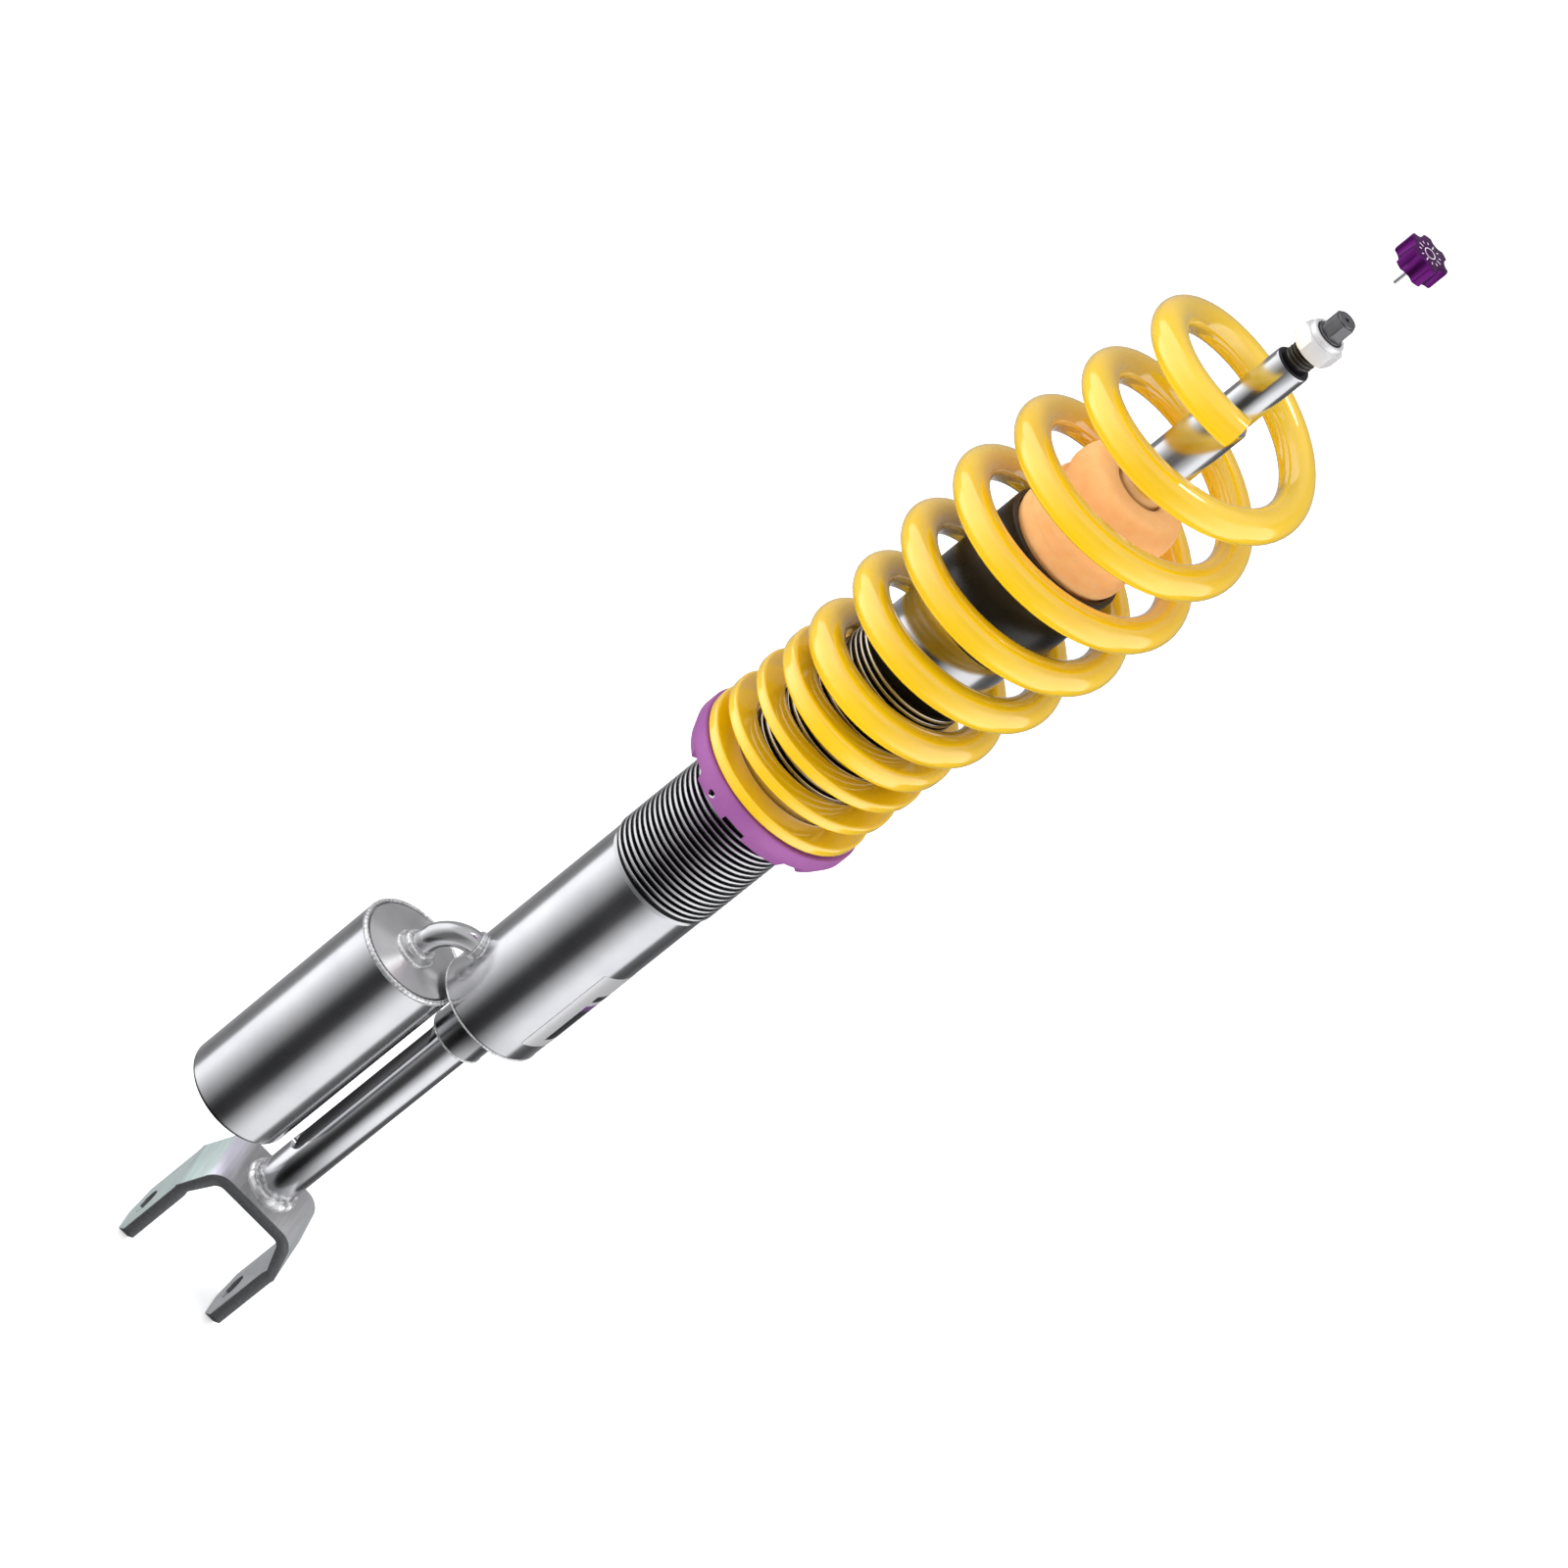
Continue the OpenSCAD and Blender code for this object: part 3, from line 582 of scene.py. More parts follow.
# piece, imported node, axis, radius, height, half width, half thickness, ripples, seed
BEADS = [
    ("fork_weld_bead", "fork_weld", damper_axis, 10.6, top("fork_bracket") + 1.3,
     2.3, 3.4, 11, 1.0),
    ("reservoir_weld_bead", "reservoir_weld", reservoir_axis, 24.1, top("reservoir_weld") - 1.2,
     0.95, 1.2, 64, 2.0),
    ("boss_ring_weld_bead", "boss_ring_weld", reservoir_axis, 8.4, bottom("boss_ring_weld") + 0.6,
     0.9, 0.9, 26, 3.0),
    ("pipe_weld_bead", "pipe_weld_boss", reservoir_axis, 6.1, bottom("pipe_weld_boss") + 0.7,
     1.2, 1.1, 18, 4.0),
    ("boss_rim_bead", "boss_weld", damper_axis, 12.25, bottom("foot_plug") + 0.15,
     0.6, 0.55, 34, 6.0),
    ("tube_rim_bead", None, damper_axis, 24.7, bottom("strut_tube") + 0.35, 0.5, 0.5, 90, 7.0),
]
for name, node, axis, radius, height, across, tall, ripples, seed in BEADS:
    bead = finish_piece(weld_ring(axis, radius, height, across, tall, ripples, seed), name, "strut",
                        WELD, sharp=math.radians(60))
    if node:
        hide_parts(node)

# %% [markdown]
# The bead where the pipe enters the big tube is a saddle, not a flat ring. The
# packed saddle is merged and its points are pushed by the same freezing pattern,
# measured round the pipe's own axis.

# %% The saddle weld
SADDLE_INNER = 5.35  # nearer the pipe's axis than this, the bead meets the pipe and stays put
saddle_shape = merged_copy("pipe_weld_tube")
long_edges = [e for e in saddle_shape.edges if e.calc_length() > 0.9 * MM]
bmesh.ops.subdivide_edges(saddle_shape, edges=long_edges, cuts=1)
bmesh.ops.triangulate(saddle_shape, faces=saddle_shape.faces)
outward = Vector((math.cos(pipe_azimuth), math.sin(pipe_azimuth), 0))
pipe_heart = Vector((0, 0, middle("pipe_weld_tube").z))
for vert in saddle_shape.verts:
    along = outward * (vert.co - pipe_heart).dot(outward)
    spoke = vert.co - pipe_heart - along
    turn = math.atan2(spoke.z, spoke.dot(Vector((-outward.y, outward.x, 0))))
    if spoke.length > SADDLE_INNER * MM:
        vert.co = pipe_heart + along + spoke * (1 + 0.2 * (frozen(turn, 18, 5.0) - 1))
saddle = finish_piece(saddle_shape, "saddle_weld_bead", "strut", WELD,
                      sharp=math.radians(50))
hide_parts("pipe_weld_tube")

# %% [markdown]
# The leg is a round bar with one long flat milled into it, to clear the reservoir.
# Cutting with a slot mill leaves rounded ends; its edges are eased by hand.

# %% The leg and the foot plug
FLAT_WITHIN = 9.2  # the bar is round outside this radius, and milled flat inside it
leg_shape = eased("leg_bar", 0.3, steeper=25)
# the milled flat takes the painted dark reflection
for face in leg_shape.faces:
    out = face.calc_center_median().xy.length / MM
    face.material_index = 1 if out < FLAT_WITHIN and abs(face.normal.z) < 0.5 else 0
leg = finish_piece(leg_shape, "leg_with_flat", "strut", [POLISHED, MILLED_FLAT_DARK_REFLECTION])
print("faces on the flat", sum(1 for f in leg.data.polygons if f.material_index == 1))
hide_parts("leg_bar")
foot = finish_piece(eased("foot_plug", 0.35), "foot_boss", "strut", POLISHED)
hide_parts("foot_plug")

# %% [markdown]
# The strut tube carries the thread that the spring perch climbs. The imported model
# has plain rings there, because a helix is costly to check for collisions; here
# the thread is cut as a real helix. It is made as two shapes: the tube itself on
# the lathe, and one rounded ridge that is spun and lifted by the pitch each turn.

# %% The strut tube
PITCH, THREAD_LOW, THREAD_HIGH = 3.0, 296.0, 446.0
ROOT, CREST, BORE, TUBE = 24.3, 25.9, 22.3, 25.0
tube_low, tube_high = bottom("strut_tube"), top("strut_tube")
tube_outline = [
    (BORE, tube_low), (TUBE - 1.3, tube_low), (TUBE - 0.8, tube_low + 0.12),
    (TUBE - 0.35, tube_low + 0.5), (TUBE - 0.1, tube_low + 1.0), (TUBE, tube_low + 1.7),
    (TUBE, THREAD_LOW - 1.2), (TUBE - 0.15, THREAD_LOW - 0.5), (ROOT, THREAD_LOW + 0.4),
    (ROOT, THREAD_HIGH + 4), (24.6, THREAD_HIGH + 5), (24.6, tube_high - 0.9),
    (24.35, tube_high - 0.3), (23.8, tube_high), (BORE, tube_high)]
tube_shape = lathe(tube_outline, segments=160)
# the root between the thread's ridges takes the painted groove shade
for face in tube_shape.faces:
    height, out = face.calc_center_median().z / MM, face.calc_center_median().xy.length / MM
    face.material_index = 1 if out < ROOT + 0.1 and THREAD_LOW < height < THREAD_HIGH + 4 else 0
tube = finish_piece(tube_shape, "strut_tube_body", "strut",
                    [POLISHED, THREAD_GROOVE_SHADE])
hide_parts("strut_tube")

# %% The perch thread
def helix(points, turns, steps, pitch):
    """A closed outline wound round the damper's axis, steps to each turn."""
    shape = bmesh.new()
    bmesh.ops.spin(shape, geom=outline(shape, points), cent=(0, 0, 0), axis=(0, 0, 1),
                   angle=math.tau * turns, steps=int(steps * turns),
                   dvec=(0, 0, pitch * MM / steps), use_merge=False)
    bmesh.ops.edgeloop_fill(shape, edges=[e for e in shape.edges if e.is_boundary])
    return shape


turns = int((THREAD_HIGH - THREAD_LOW) / PITCH) - 0.7
ridge_outline = [(ROOT - 0.2, THREAD_LOW + 0.1), (ROOT + 0.25, THREAD_LOW + 0.4),
                 (CREST - 0.35, THREAD_LOW + 0.78), (CREST - 0.06, THREAD_LOW + 1.05),
                 (CREST, THREAD_LOW + 1.5), (CREST - 0.06, THREAD_LOW + 1.95),
                 (CREST - 0.35, THREAD_LOW + 2.22), (ROOT + 0.25, THREAD_LOW + 2.6),
                 (ROOT - 0.2, THREAD_LOW + 2.9)]
thread_shape = helix(ridge_outline, turns, 56, PITCH)
# the ridge's lower flanks take the painted groove shade
for face in thread_shape.faces:
    face.material_index = 1 if face.calc_center_median().xy.length / MM < CREST - 0.75 else 0
finish_piece(thread_shape, "perch_thread", "strut", [POLISHED, THREAD_GROOVE_SHADE],
             sharp=math.radians(75))

# %% [markdown]
# The reservoir is a drawn can. Its lower edge is rolled over, so it is modelled
# with a generous round there, and the top edge runs into the weld.

# %% The reservoir can
can_low, can_high = bottom("reservoir_tube"), top("reservoir_tube")
can_outline = [(22.5, can_low), (22.9, can_low), (23.6, can_low + 0.15), (24.3, can_low + 0.5),
               (24.75, can_low + 1.0), (24.95, can_low + 1.6), (25.0, can_low + 2.4),
               (25.0, can_high), (22.5, can_high)]
can = finish_piece(lathe(can_outline, reservoir_axis, 160), "reservoir_can", "strut",
                   POLISHED)
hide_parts("reservoir_tube")

# %% [markdown]
# The dust sleeve is a short moulded bush pushed over the end of the tube, and the
# bump stop rests in it. Foam has no crisp edges, so its outline is only roughed
# out here, and a Subdivision Surface rounds it.

# %% Dust sleeve and bump stop
sleeve_low, sleeve_high = bottom("dust_sleeve"), top("dust_sleeve")
sleeve_outline = [(24.6, sleeve_low), (26.4, sleeve_low), (26.9, sleeve_low + 0.25),
                  (27.2, sleeve_low + 0.9), (27.2, sleeve_high - 1.0), (27.0, sleeve_high - 0.35),
                  (26.6, sleeve_high), (25.4, sleeve_high), (24.9, sleeve_high - 0.3),
                  (24.7, sleeve_high - 0.9), (24.65, sleeve_high - 6.0), (24.6, sleeve_high - 6.2)]
sleeve = finish_piece(lathe(sleeve_outline, segments=128), "dust_sleeve_bush", "strut",
                      BLACK_SLEEVE)
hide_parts("dust_sleeve")

stop_low, stop_high = bottom("bump_stop"), top("bump_stop")
stop_outline = [
    (10.5, stop_low), (24.1, stop_low), (24.3, stop_low + 3.6), (25.1, 529.4), (25.55, 531.2),
    (25.6, 533.4), (24.6, 535.0), (25.3, 536.3), (25.2, 537.8), (24.0, 539.4), (25.0, 540.9),
    (25.3, 543.5), (25.1, 546.2), (24.9, 548.2), (24.4, 549.8), (23.4, 551.0),
    (22.85, 552.2), (23.1, 553.2), (24.2, 554), (25.05, 555.6), (25.2, 558), (25.0, 561),
    (24.2, 564.4), (23.0, 567), (21.6, 568.5), (19.6, stop_high), (11.9, stop_high),
    (11.0, stop_high - 0.5), (10.5, stop_high - 1.6)]
stop = finish_piece(lathe(stop_outline, segments=64), "foam_bump_stop", "strut", FOAM,
                    sharp=math.radians(80))
soften = stop.modifiers.new("soften", "SUBSURF")
soften.levels = soften.render_levels = 1
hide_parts("bump_stop")

# %% [markdown]
# The spring is the heart of the part. It starts as close flat coils, which only
# take up slack, and turns into round wire as it opens out and tapers. One
# section is placed at the wire's start and extruded ring by ring; at every ring
# it moves along the helix and takes the width, height and roundness of the
# wire there.

# %% The wire's path
def ramp(x, a, b):
    t = max(0.0, min(1.0, (x - a) / (b - a)))
    return t * t * (3 - 2 * t)


# the outside radius of the coils in mm, by half turns from the wire's start
RADII = [(6.6, 39.6), (7.5, 40.3), (9, 43.2), (11, 46.8), (12, 48.6), (13, 50.3), (14, 51.7),
         (14.5, 52.1), (15, 52.2), (15.5, 52.1), (16, 51.7), (18, 49.8), (19, 48.9), (20.6, 48.3)]
WIRE_START, WIRE_END, WIRE = -0.5, 20.555, 14.2
RINGS = 700


def climb(p):
    """Rise of the wire in mm for each half turn, at p half turns."""
    return 8.05 * ramp(p, 0.1, 1.4) + 6.5 * ramp(p, 7.3, 8.9) + 0.306 * max(0, p - 8)


def outer_radius(p):
    if p <= RADII[0][0]:
        return RADII[0][1]
    for (a, ra), (b, rb) in zip(RADII, RADII[1:]):
        if p <= b:
            return ra + (rb - ra) * (p - a) / (b - a)
    return RADII[-1][1]


def wire_section(p):
    """A rounded rectangle; on the flats a point by each corner keeps the shading crisp."""
    share, roundness = ramp(p, 4.8, 8.4), ramp(p, 5.4, 8.6)
    half_wide, half_high = (12 + (WIRE - 12) * share) / 2, (5 + (WIRE - 5) * share) / 2
    corner = min(1.3 + (WIRE / 2 - 1.3) * roundness, half_high, half_wide)
    hold = 0.3 * (1 - roundness)
    points = []
    for quarter in range(4):
        x = (half_wide - corner) * (1 if quarter in (0, 3) else -1)
        y = (half_high - corner) * (1 if quarter < 2 else -1)
        for k in range(8):
            on_flat, on_round = min(max(18 * (k - 1), 0), 90), 5.625 + 11.25 * k
            turn = math.radians(90 * quarter + on_flat + (on_round - on_flat) * roundness)
            slide = {0: -hold, 7: hold}.get(k, 0)
            points.append((x + corner * math.cos(turn) - slide * math.sin(turn),
                           y + corner * math.sin(turn) + slide * math.cos(turn)))
    return points, half_wide


stride = (WIRE_END - WIRE_START) / RINGS
heights = [bottom("spring") + 2.53]
for i in range(RINGS):
    heights.append(heights[-1] + climb(WIRE_START + stride * (i + 0.5)) * stride)


def wire_ring(i):
    p = WIRE_START + stride * i
    azimuth = math.radians(180 + FRONT + 180 * p)  # p counts half turns
    points, half_wide = wire_section(p)
    centre = outer_radius(p) - half_wide
    return [Vector(((centre + x) * math.cos(azimuth), (centre + x) * math.sin(azimuth),
                    heights[i] + z)) * MM for x, z in points]


print("spring reaches", round(heights[-1] + WIRE / 2, 2), "packed", round(top("spring"), 2))

# %% The spring
def wound_spring():
    shape = bmesh.new()
    verts = bmesh.ops.create_circle(shape, segments=32, radius=WIRE / 2 * MM)["verts"]
    for vert, place in zip(verts, wire_ring(0)):
        vert.co = place
    edges = shape.edges[:]
    bmesh.ops.contextual_create(shape, geom=verts)
    for i in range(1, RINGS + 1):
        made = bmesh.ops.extrude_edge_only(shape, edges=edges)["geom"]
        verts = [v for v in made if isinstance(v, bmesh.types.BMVert)]
        edges = [e for e in made if isinstance(e, bmesh.types.BMEdge) and len(e.link_faces) == 1]
        for vert, place in zip(verts, wire_ring(i)):
            vert.co = place
    bmesh.ops.contextual_create(shape, geom=verts)
    return shape


spring = finish_piece(wound_spring(), "coil_spring", "perch", POWDER,
                      sharp=math.radians(55))
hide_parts("spring")
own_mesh(spring)

# %% [markdown]
# The perch collar is milled from bar: a spanner notch at each eighth of a turn
# and a clamp screw between two of them. The screw is a small steel set screw.

# %% Perch collar and its screw
collar = finish_piece(eased("perch_collar", 0.3, steeper=30), "notched_perch_collar", "collar",
                      COLLAR_PURPLE)
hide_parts("perch_collar")
screw_shape = eased("perch_screw", 0.2)
screw_heart = middle("perch_screw")
screw_way = Vector((screw_heart.x, screw_heart.y, 0)).normalized()
# the hex socket of the bright zinc screw is painted blackened steel: painted shade in the hole
for face in screw_shape.faces:
    spoke = face.calc_center_median() - screw_heart
    off_axis = (spoke - screw_way * spoke.dot(screw_way)).length / MM
    face.material_index = 1 if off_axis < 1.0 and spoke.dot(screw_way) > 0 else 0
screw = finish_piece(screw_shape, "collar_set_screw", "collar",
                     [BRIGHT_ZINC, BLACK_STEEL])
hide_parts("perch_screw")

# %% [markdown]
# The rod steps down twice before its M12 thread. The rod is chromed up to the
# shoulder, the neck above it is polished, the thread is blackened and the little
# holding hex on top is phosphated. One lathe outline with a helix round it.

# %% Piston rod, stud thread and holding hex
rod_low, stub_top = bottom("piston_rod"), top("piston_rod")
SHOULDER, STUD_LOW, STUD_HIGH, STUD_PITCH = 616.2, 650.8, 669.0, 1.75
rod_outline = [
    (2.4, rod_low), (5.2, rod_low), (6.0, rod_low + 1), (6.0, rod_low + 32), (10.0, rod_low + 32),
    (10.0, SHOULDER - 1.3), (9.7, SHOULDER - 0.5), (8.9, SHOULDER), (7.95, SHOULDER),
    (7.95, STUD_LOW - 1.5), (7.7, STUD_LOW - 0.7), (7.0, STUD_LOW), (5.1, STUD_LOW),
    (5.1, STUD_HIGH - 0.6), (4.7, STUD_HIGH), (2.4, STUD_HIGH)]
rod_shape = lathe(rod_outline, segments=96)
for face in rod_shape.faces:
    blackened = face.calc_center_median().z / MM > STUD_LOW - 0.6
    face.material_index = 1 if blackened else 0
rod = finish_piece(rod_shape, "chromed_piston_rod", "rod", [CHROME, BLACK_STEEL])
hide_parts("piston_rod")
stud_ridge = [(4.95, STUD_LOW + 0.1), (5.35, STUD_LOW + 0.25), (5.9, STUD_LOW + 0.68),
              (5.97, STUD_LOW + 0.85), (5.9, STUD_LOW + 1.02), (5.35, STUD_LOW + 1.45),
              (4.95, STUD_LOW + 1.62)]
stud_turns = int((STUD_HIGH - STUD_LOW - 1.8) / STUD_PITCH)
finish_piece(helix(stud_ridge, stud_turns, 48, STUD_PITCH), "stud_thread", "rod",
             WORN_BLACK, sharp=math.radians(75))

# %% The holding hex
HEX_CORNER = 4.5 / math.cos(math.radians(30)) * MM  # 9 mm across its flats


def holding_hex():
    shape = bmesh.new()
    rim = bmesh.ops.create_circle(shape, segments=6, radius=HEX_CORNER, cap_ends=True)["verts"]
    bmesh.ops.rotate(shape, verts=rim, cent=(0, 0, 0),
                     matrix=Matrix.Rotation(math.radians(FRONT - 90 - 20), 3, "Z"))
    bmesh.ops.translate(shape, verts=rim, vec=(0, 0, STUD_HIGH * MM))
    raised = bmesh.ops.extrude_face_region(shape, geom=shape.faces[:])["geom"]
    bmesh.ops.translate(shape, verts=[v for v in raised if isinstance(v, bmesh.types.BMVert)],
                        vec=(0, 0, (stub_top - 0.8 - STUD_HIGH) * MM))
    round_edges(shape, shape.edges[:], 0.45, segments=3)
    crown = max(shape.faces, key=lambda f: f.calc_center_median().z + f.calc_area())
    for size, sink in ((0.0029, 0), (0.0001, -3.0)):
        bmesh.ops.inset_region(shape, faces=[crown], thickness=size, use_even_offset=True)
        bmesh.ops.translate(shape, verts=crown.verts, vec=(0, 0, sink * MM))
    for vert in crown.verts:
        vert.co.z = (STUD_HIGH + 0.3) * MM
    foot_ring = [(4.0, STUD_HIGH), (5.3, STUD_HIGH), (5.5, STUD_HIGH + 0.2),
                 (5.5, STUD_HIGH + 0.7), (5.3, STUD_HIGH + 0.9), (4.0, STUD_HIGH + 0.9)]
    tip_ring = [(1.05, stub_top - 1.2), (3.9, stub_top - 1.2), (4.15, stub_top - 0.6),
                (4.15, stub_top - 0.25), (3.9, stub_top), (1.25, stub_top), (1.05, stub_top - 0.2)]
    for points in (foot_ring, tip_ring):
        spun_once(shape, outline(shape, points), 64)
    return shape


finish_piece(holding_hex(), "holding_hex", "rod", STUB_STEEL)

# %% [markdown]
# The top nut is a small flange nut in bright zinc: six flats whose corners are
# turned off, and a round collar above. Its edges are eased like pressed steel.

# %% Top nut
nut = finish_piece(eased("top_nut", 0.3, steeper=22), "top_hex_nut", "rod",
                   BRIGHT_ZINC)
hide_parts("top_nut")
nut_collar = finish_piece(eased("nut_ring", 0.3, steeper=22), "top_nut_collar", "rod",
                          BRIGHT_ZINC)
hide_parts("nut_ring")

# %% [markdown]
# The adjuster knob is pulled off and floats above the rod. It has six scallops
# for the fingers. Its face is engraved on the real part; here it gets a plain
# scale of ticks, which any adjuster has.

# %% Knob and its scale
knob_piece = finish_piece(eased("knob", 0.35, steeper=30), "scalloped_knob", "knob",
                          KNOB_PURPLE)
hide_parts("knob")
PAINT = plain_metal("engraved_white_fill", "#E8DDEC", "#F6F0F8", 0.5, across=2)
PAINT.node_tree.nodes["Principled BSDF"].inputs["Metallic"].default_value = 0.0


def dial_scale():
    """Twelve ticks sunk into the knob's face, every third one long, and a ring."""
    shape = bmesh.new()
    for k in range(12):
        long = k % 3 == 0
        bar = bmesh.ops.create_cube(shape, size=1.0)["verts"]
        bmesh.ops.scale(shape, verts=bar, vec=((2.0 if long else 1.2) * MM, 0.45 * MM, 0.05 * MM))
        bmesh.ops.translate(shape, verts=bar, vec=((4.6 if long else 5.0) * MM, 0,
                                                   (top("knob") - 0.022) * MM))
        bmesh.ops.rotate(shape, verts=bar, cent=(0, 0, 0),
                         matrix=Matrix.Rotation(math.tau * k / 12, 3, "Z"))
    ring = [(2.3, top("knob") - 0.03), (2.7, top("knob") - 0.03), (2.7, top("knob") + 0.01),
            (2.3, top("knob") + 0.01)]
    spun_once(shape, outline(shape, ring), 48)
    return shape


finish_piece(dial_scale(), "knob_scale", "knob", PAINT)

# %% [markdown]
# The strut stands on its fork over a pale floor. Polished steel shows nothing but
# what is round it, so the light matters as much as the metal: two tall soft
# lights left and right, a dark gap between them, and a grey studio behind. The
# floor is kept out of reflections, and the studio's walls are drawn in the world
# by direction, so the bands run straight along every tube from any side.

# %% Floor
FLOOR_GAP = 0.0005
floor_shape = bmesh.new()
bmesh.ops.create_grid(floor_shape, x_segments=1, y_segments=1, size=14)
bmesh.ops.translate(floor_shape, verts=floor_shape.verts, vec=(0, 0, cad_low.z - FLOOR_GAP))
floor_mesh = bpy.data.meshes.new("floor")
floor_shape.to_mesh(floor_mesh)
floor_shape.free()
floor = bpy.data.objects.new("floor", floor_mesh)
bpy.context.scene.collection.objects.link(floor)
floor_finish, _, floor_shader, _ = finish_of(
    "pale_matt_floor", Base_Color=chip("#FBFBFB"), Roughness=0.9,
    Emission_Color=chip("#FFFFFF"), Emission_Strength=0.35)
floor_shader.inputs["Specular IOR Level"].default_value = 0.0
floor_mesh.materials.append(floor_finish)
floor.visible_glossy = False
print("floor at", round(cad_low.z - FLOOR_GAP, 4))

# %% A compass for the studio walls
world = bpy.data.worlds.new("studio")
bpy.context.scene.world = world
world.use_nodes = True
walls = world.node_tree
walls.nodes.clear()
heading = add(walls, "ShaderNodeTexCoord").outputs["Generated"]
spun = add(walls, "ShaderNodeMapping", {"Vector": heading,
                                        "Rotation": (0, 0, math.radians(-FRONT))},
           vector_type="POINT").outputs["Vector"]
# after the turn, -Y faces the camera, +X is the right-hand side
facing = add(walls, "ShaderNodeSeparateXYZ", {"Vector": spun}).outputs
minus_y = add(walls, "ShaderNodeMath", {0: facing["Y"], 1: -1.0}, operation="MULTIPLY").outputs[0]
turn = add(walls, "ShaderNodeMath", {0: facing["X"], 1: minus_y}, operation="ARCTAN2").outputs[0]
share = add(walls, "ShaderNodeMapRange", {"Value": turn, "From Min": -math.pi,
                                          "From Max": math.pi}).outputs["Result"]
lift = span(walls, facing["Z"], 0.0, 1.0)  # 0 straight down, 1 straight up
lift.node.inputs["From Min"].default_value = -1.0
print("studio world set up with", len(walls.nodes), "nodes")

# %% The bands on the walls
WALL_STRENGTH = 1.3


def grey(level):
    return (level, level, level * 1.01, 1)


def wall_bands(stops):
    """Stops are (degrees from the camera's side, brightness)."""
    return shades(walls, share, [((a + 180) / 360, grey(v / WALL_STRENGTH)) for a, v in stops])


WALL = [(-180, 0.6), (-158, 0.35), (-128, 0.2), (-107, 0.27), (-100, 1.3), (-82, 1.3),
        (-48, 0.6), (-18, 0.09), (-8, 0.04), (8, 0.04), (18, 0.07), (58, 0.98), (70, 1.08),
        (98, 1.08), (104, 0.14), (128, 0.08), (158, 0.2), (180, 0.6)]
wall_light = wall_bands(WALL)
below = shades(walls, lift, [(0.04, grey(0.05)), (0.11, grey(0.1)), (0.19, grey(1.0))])
HIGH_WALL = [(-180, 0.3), (-150, 0.42), (-124, 0.3), (-119, 1.2), (-75, 1.1), (-50, 0.6),
             (-15, 0.16), (15, 0.16), (50, 0.6), (75, 1.1), (119, 1.15), (124, 0.25), (150, 0.25),
             (180, 0.3)]
high_wall = wall_bands(HIGH_WALL)
overhead = shades(walls, lift, [(0.8, grey(0.0)), (0.9, grey(1.0))])
ceiling = add(walls, "ShaderNodeMix", {"Factor": overhead, "A": high_wall, "B": grey(0.45)},
              data_type="RGBA").outputs["Result"]
above = shades(walls, lift, [(0.37, grey(0.0)), (0.39, grey(1.0))])
banded = add(walls, "ShaderNodeMix", {"Factor": 1.0, "A": wall_light, "B": below},
             data_type="RGBA", blend_type="MULTIPLY").outputs["Result"]
with_roof = add(walls, "ShaderNodeMix", {"Factor": above, "A": banded, "B": ceiling},
                data_type="RGBA").outputs["Result"]
print("studio wall stops", len(WALL) + len(HIGH_WALL))

# %% A small lamp in the walls, and what each kind of ray sees
# one small lamp overhead, just behind, draws the thin line along the top of every coil
toward_lamp = add(walls, "ShaderNodeVectorMath", {0: spun, 1: (0, 0.174, 0.985)},
                  operation="DOT_PRODUCT").outputs["Value"]
lamp_disc = add(walls, "ShaderNodeMapRange", {"Value": toward_lamp, "From Min": 0.988,
                                              "From Max": 0.993}).outputs["Result"]
with_lamp = add(walls, "ShaderNodeMix", {"Factor": lamp_disc, "A": with_roof,
                                         "B": (4.5, 4.5, 4.5, 1)},
                data_type="RGBA").outputs["Result"]
rays = add(walls, "ShaderNodeLightPath").outputs
mirror_light, room_light, seen_light = [
    add(walls, "ShaderNodeBackground", {"Color": colour, "Strength": strength}).outputs[0]
    for colour, strength in ((with_lamp, WALL_STRENGTH), (grey(1.0), 0.85), (grey(0.98), 1.0))]
plain = add(walls, "ShaderNodeMixShader", {0: rays["Is Camera Ray"], 1: room_light,
                                           2: seen_light}).outputs[0]
whole = add(walls, "ShaderNodeMixShader", {0: rays["Is Glossy Ray"], 1: plain,
                                           2: mirror_light}).outputs[0]
add(walls, "ShaderNodeOutputWorld", {"Surface": whole})
world.cycles.sampling_method = "NONE"  # else rough metal takes its shine from the room light
print("studio lit, nodes", len(walls.nodes))

# %% [markdown]
# The camera stands a good way off with a long lens, looking down a little, and is
# rolled so that the strut lies across the frame from lower left to upper right.

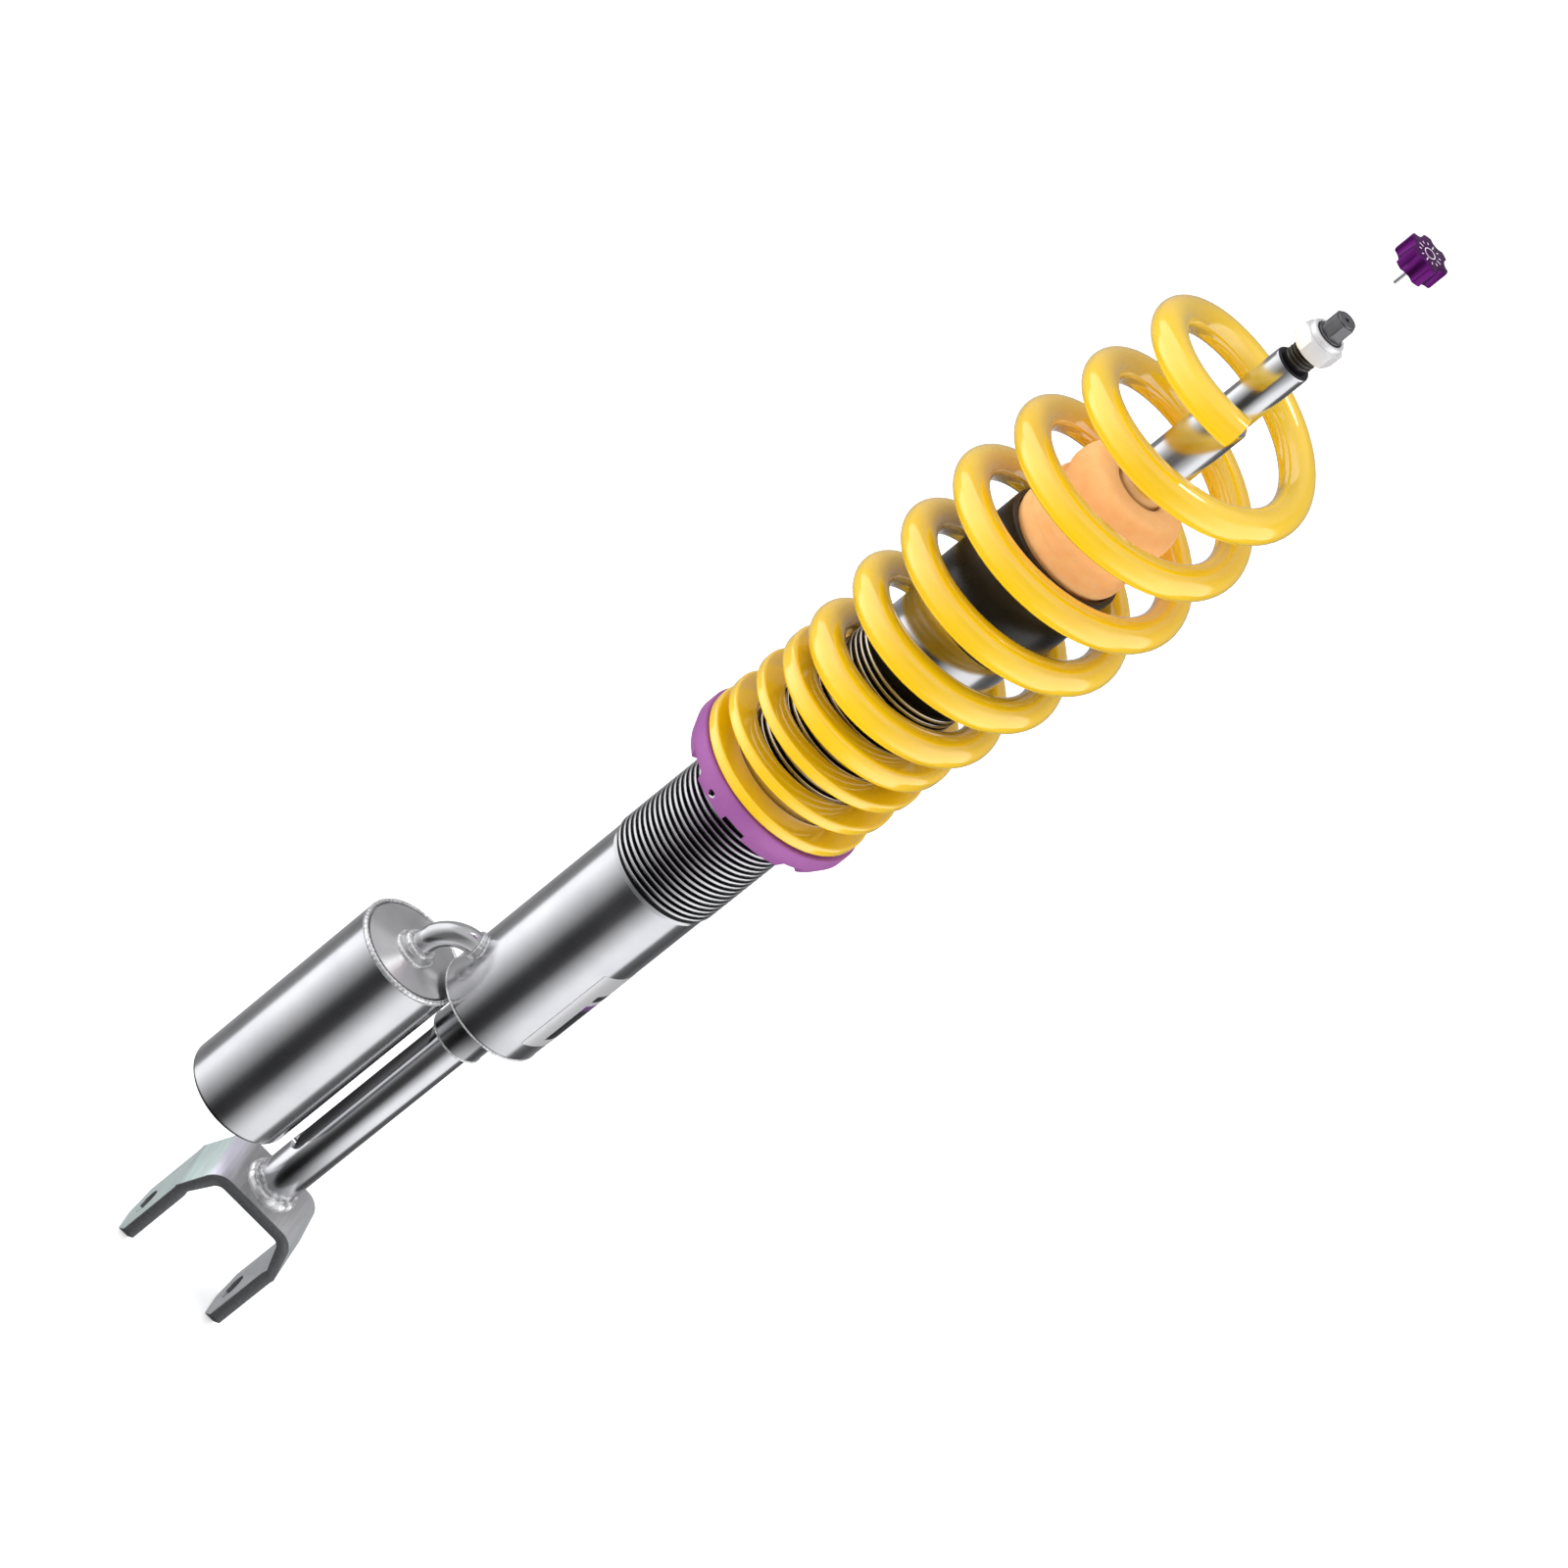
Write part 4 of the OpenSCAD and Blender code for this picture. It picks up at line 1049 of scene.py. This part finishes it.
# %% Camera
PITCH_DOWN, ROLL, SIDE = math.radians(31.2), math.radians(38.8), math.radians(-FRONT)
side_way = Vector((math.cos(SIDE), -math.sin(SIDE), 0))
into = Vector((math.sin(SIDE), math.cos(SIDE), 0))
ahead = -math.sin(PITCH_DOWN) * Vector((0, 0, 1)) + math.cos(PITCH_DOWN) * into
upward = math.cos(PITCH_DOWN) * Vector((0, 0, 1)) + math.sin(PITCH_DOWN) * into
picture_right = math.cos(ROLL) * upward + math.sin(ROLL) * side_way
picture_up = math.sin(ROLL) * upward - math.cos(ROLL) * side_way
aim = Vector((0, 0, 0.3648)) + side_way * 0.0031
eye = aim - ahead * 2.845
lens = bpy.data.cameras.new("camera")
lens.lens, lens.sensor_width = 167.6, 36
lens.clip_start, lens.clip_end = 0.1, 100
camera = bpy.data.objects.new("camera", lens)
camera.matrix_world = Matrix.Translation(eye) @ Matrix((picture_right, picture_up, -ahead)
                                                       ).transposed().to_4x4()
bpy.context.scene.collection.objects.link(camera)
bpy.context.scene.camera = camera
print("camera", [round(v, 3) for v in eye])

# %% [markdown]
# Three area lights shape the paint and the foam. They are large and close to even,
# and kept out of mirrors, where the studio walls already do their work.

# %% Soft lights
def soft_light(name, azimuth, elevation, distance, size, power):
    """Azimuth from the camera's side, positive to the right of it, seen from above."""
    a, e = math.radians(azimuth), math.radians(elevation)
    way = (-into * math.cos(a) + side_way * math.sin(a)) * math.cos(e) + Vector((0, 0, math.sin(e)))
    light = bpy.data.lights.new(name, "AREA")
    light.shape, light.size, light.energy = "SQUARE", size, power
    lamp = bpy.data.objects.new(name, light)
    lamp.location = aim + way * distance
    lamp.rotation_euler = way.to_track_quat("Z", "Y").to_euler()
    lamp.visible_camera = lamp.visible_glossy = False
    bpy.context.scene.collection.objects.link(lamp)
    print(name, "light", power, "W")


soft_light("key", -72, 16, 2.6, 1.6, 30)
soft_light("fill", 66, 12, 2.8, 1.8, 24)
soft_light("top", 170, 72, 2.6, 2.0, 20)
settings = bpy.context.scene.view_settings
settings.view_transform, settings.look = "Standard", "None"
settings.exposure, settings.gamma = 0.0, 1.0
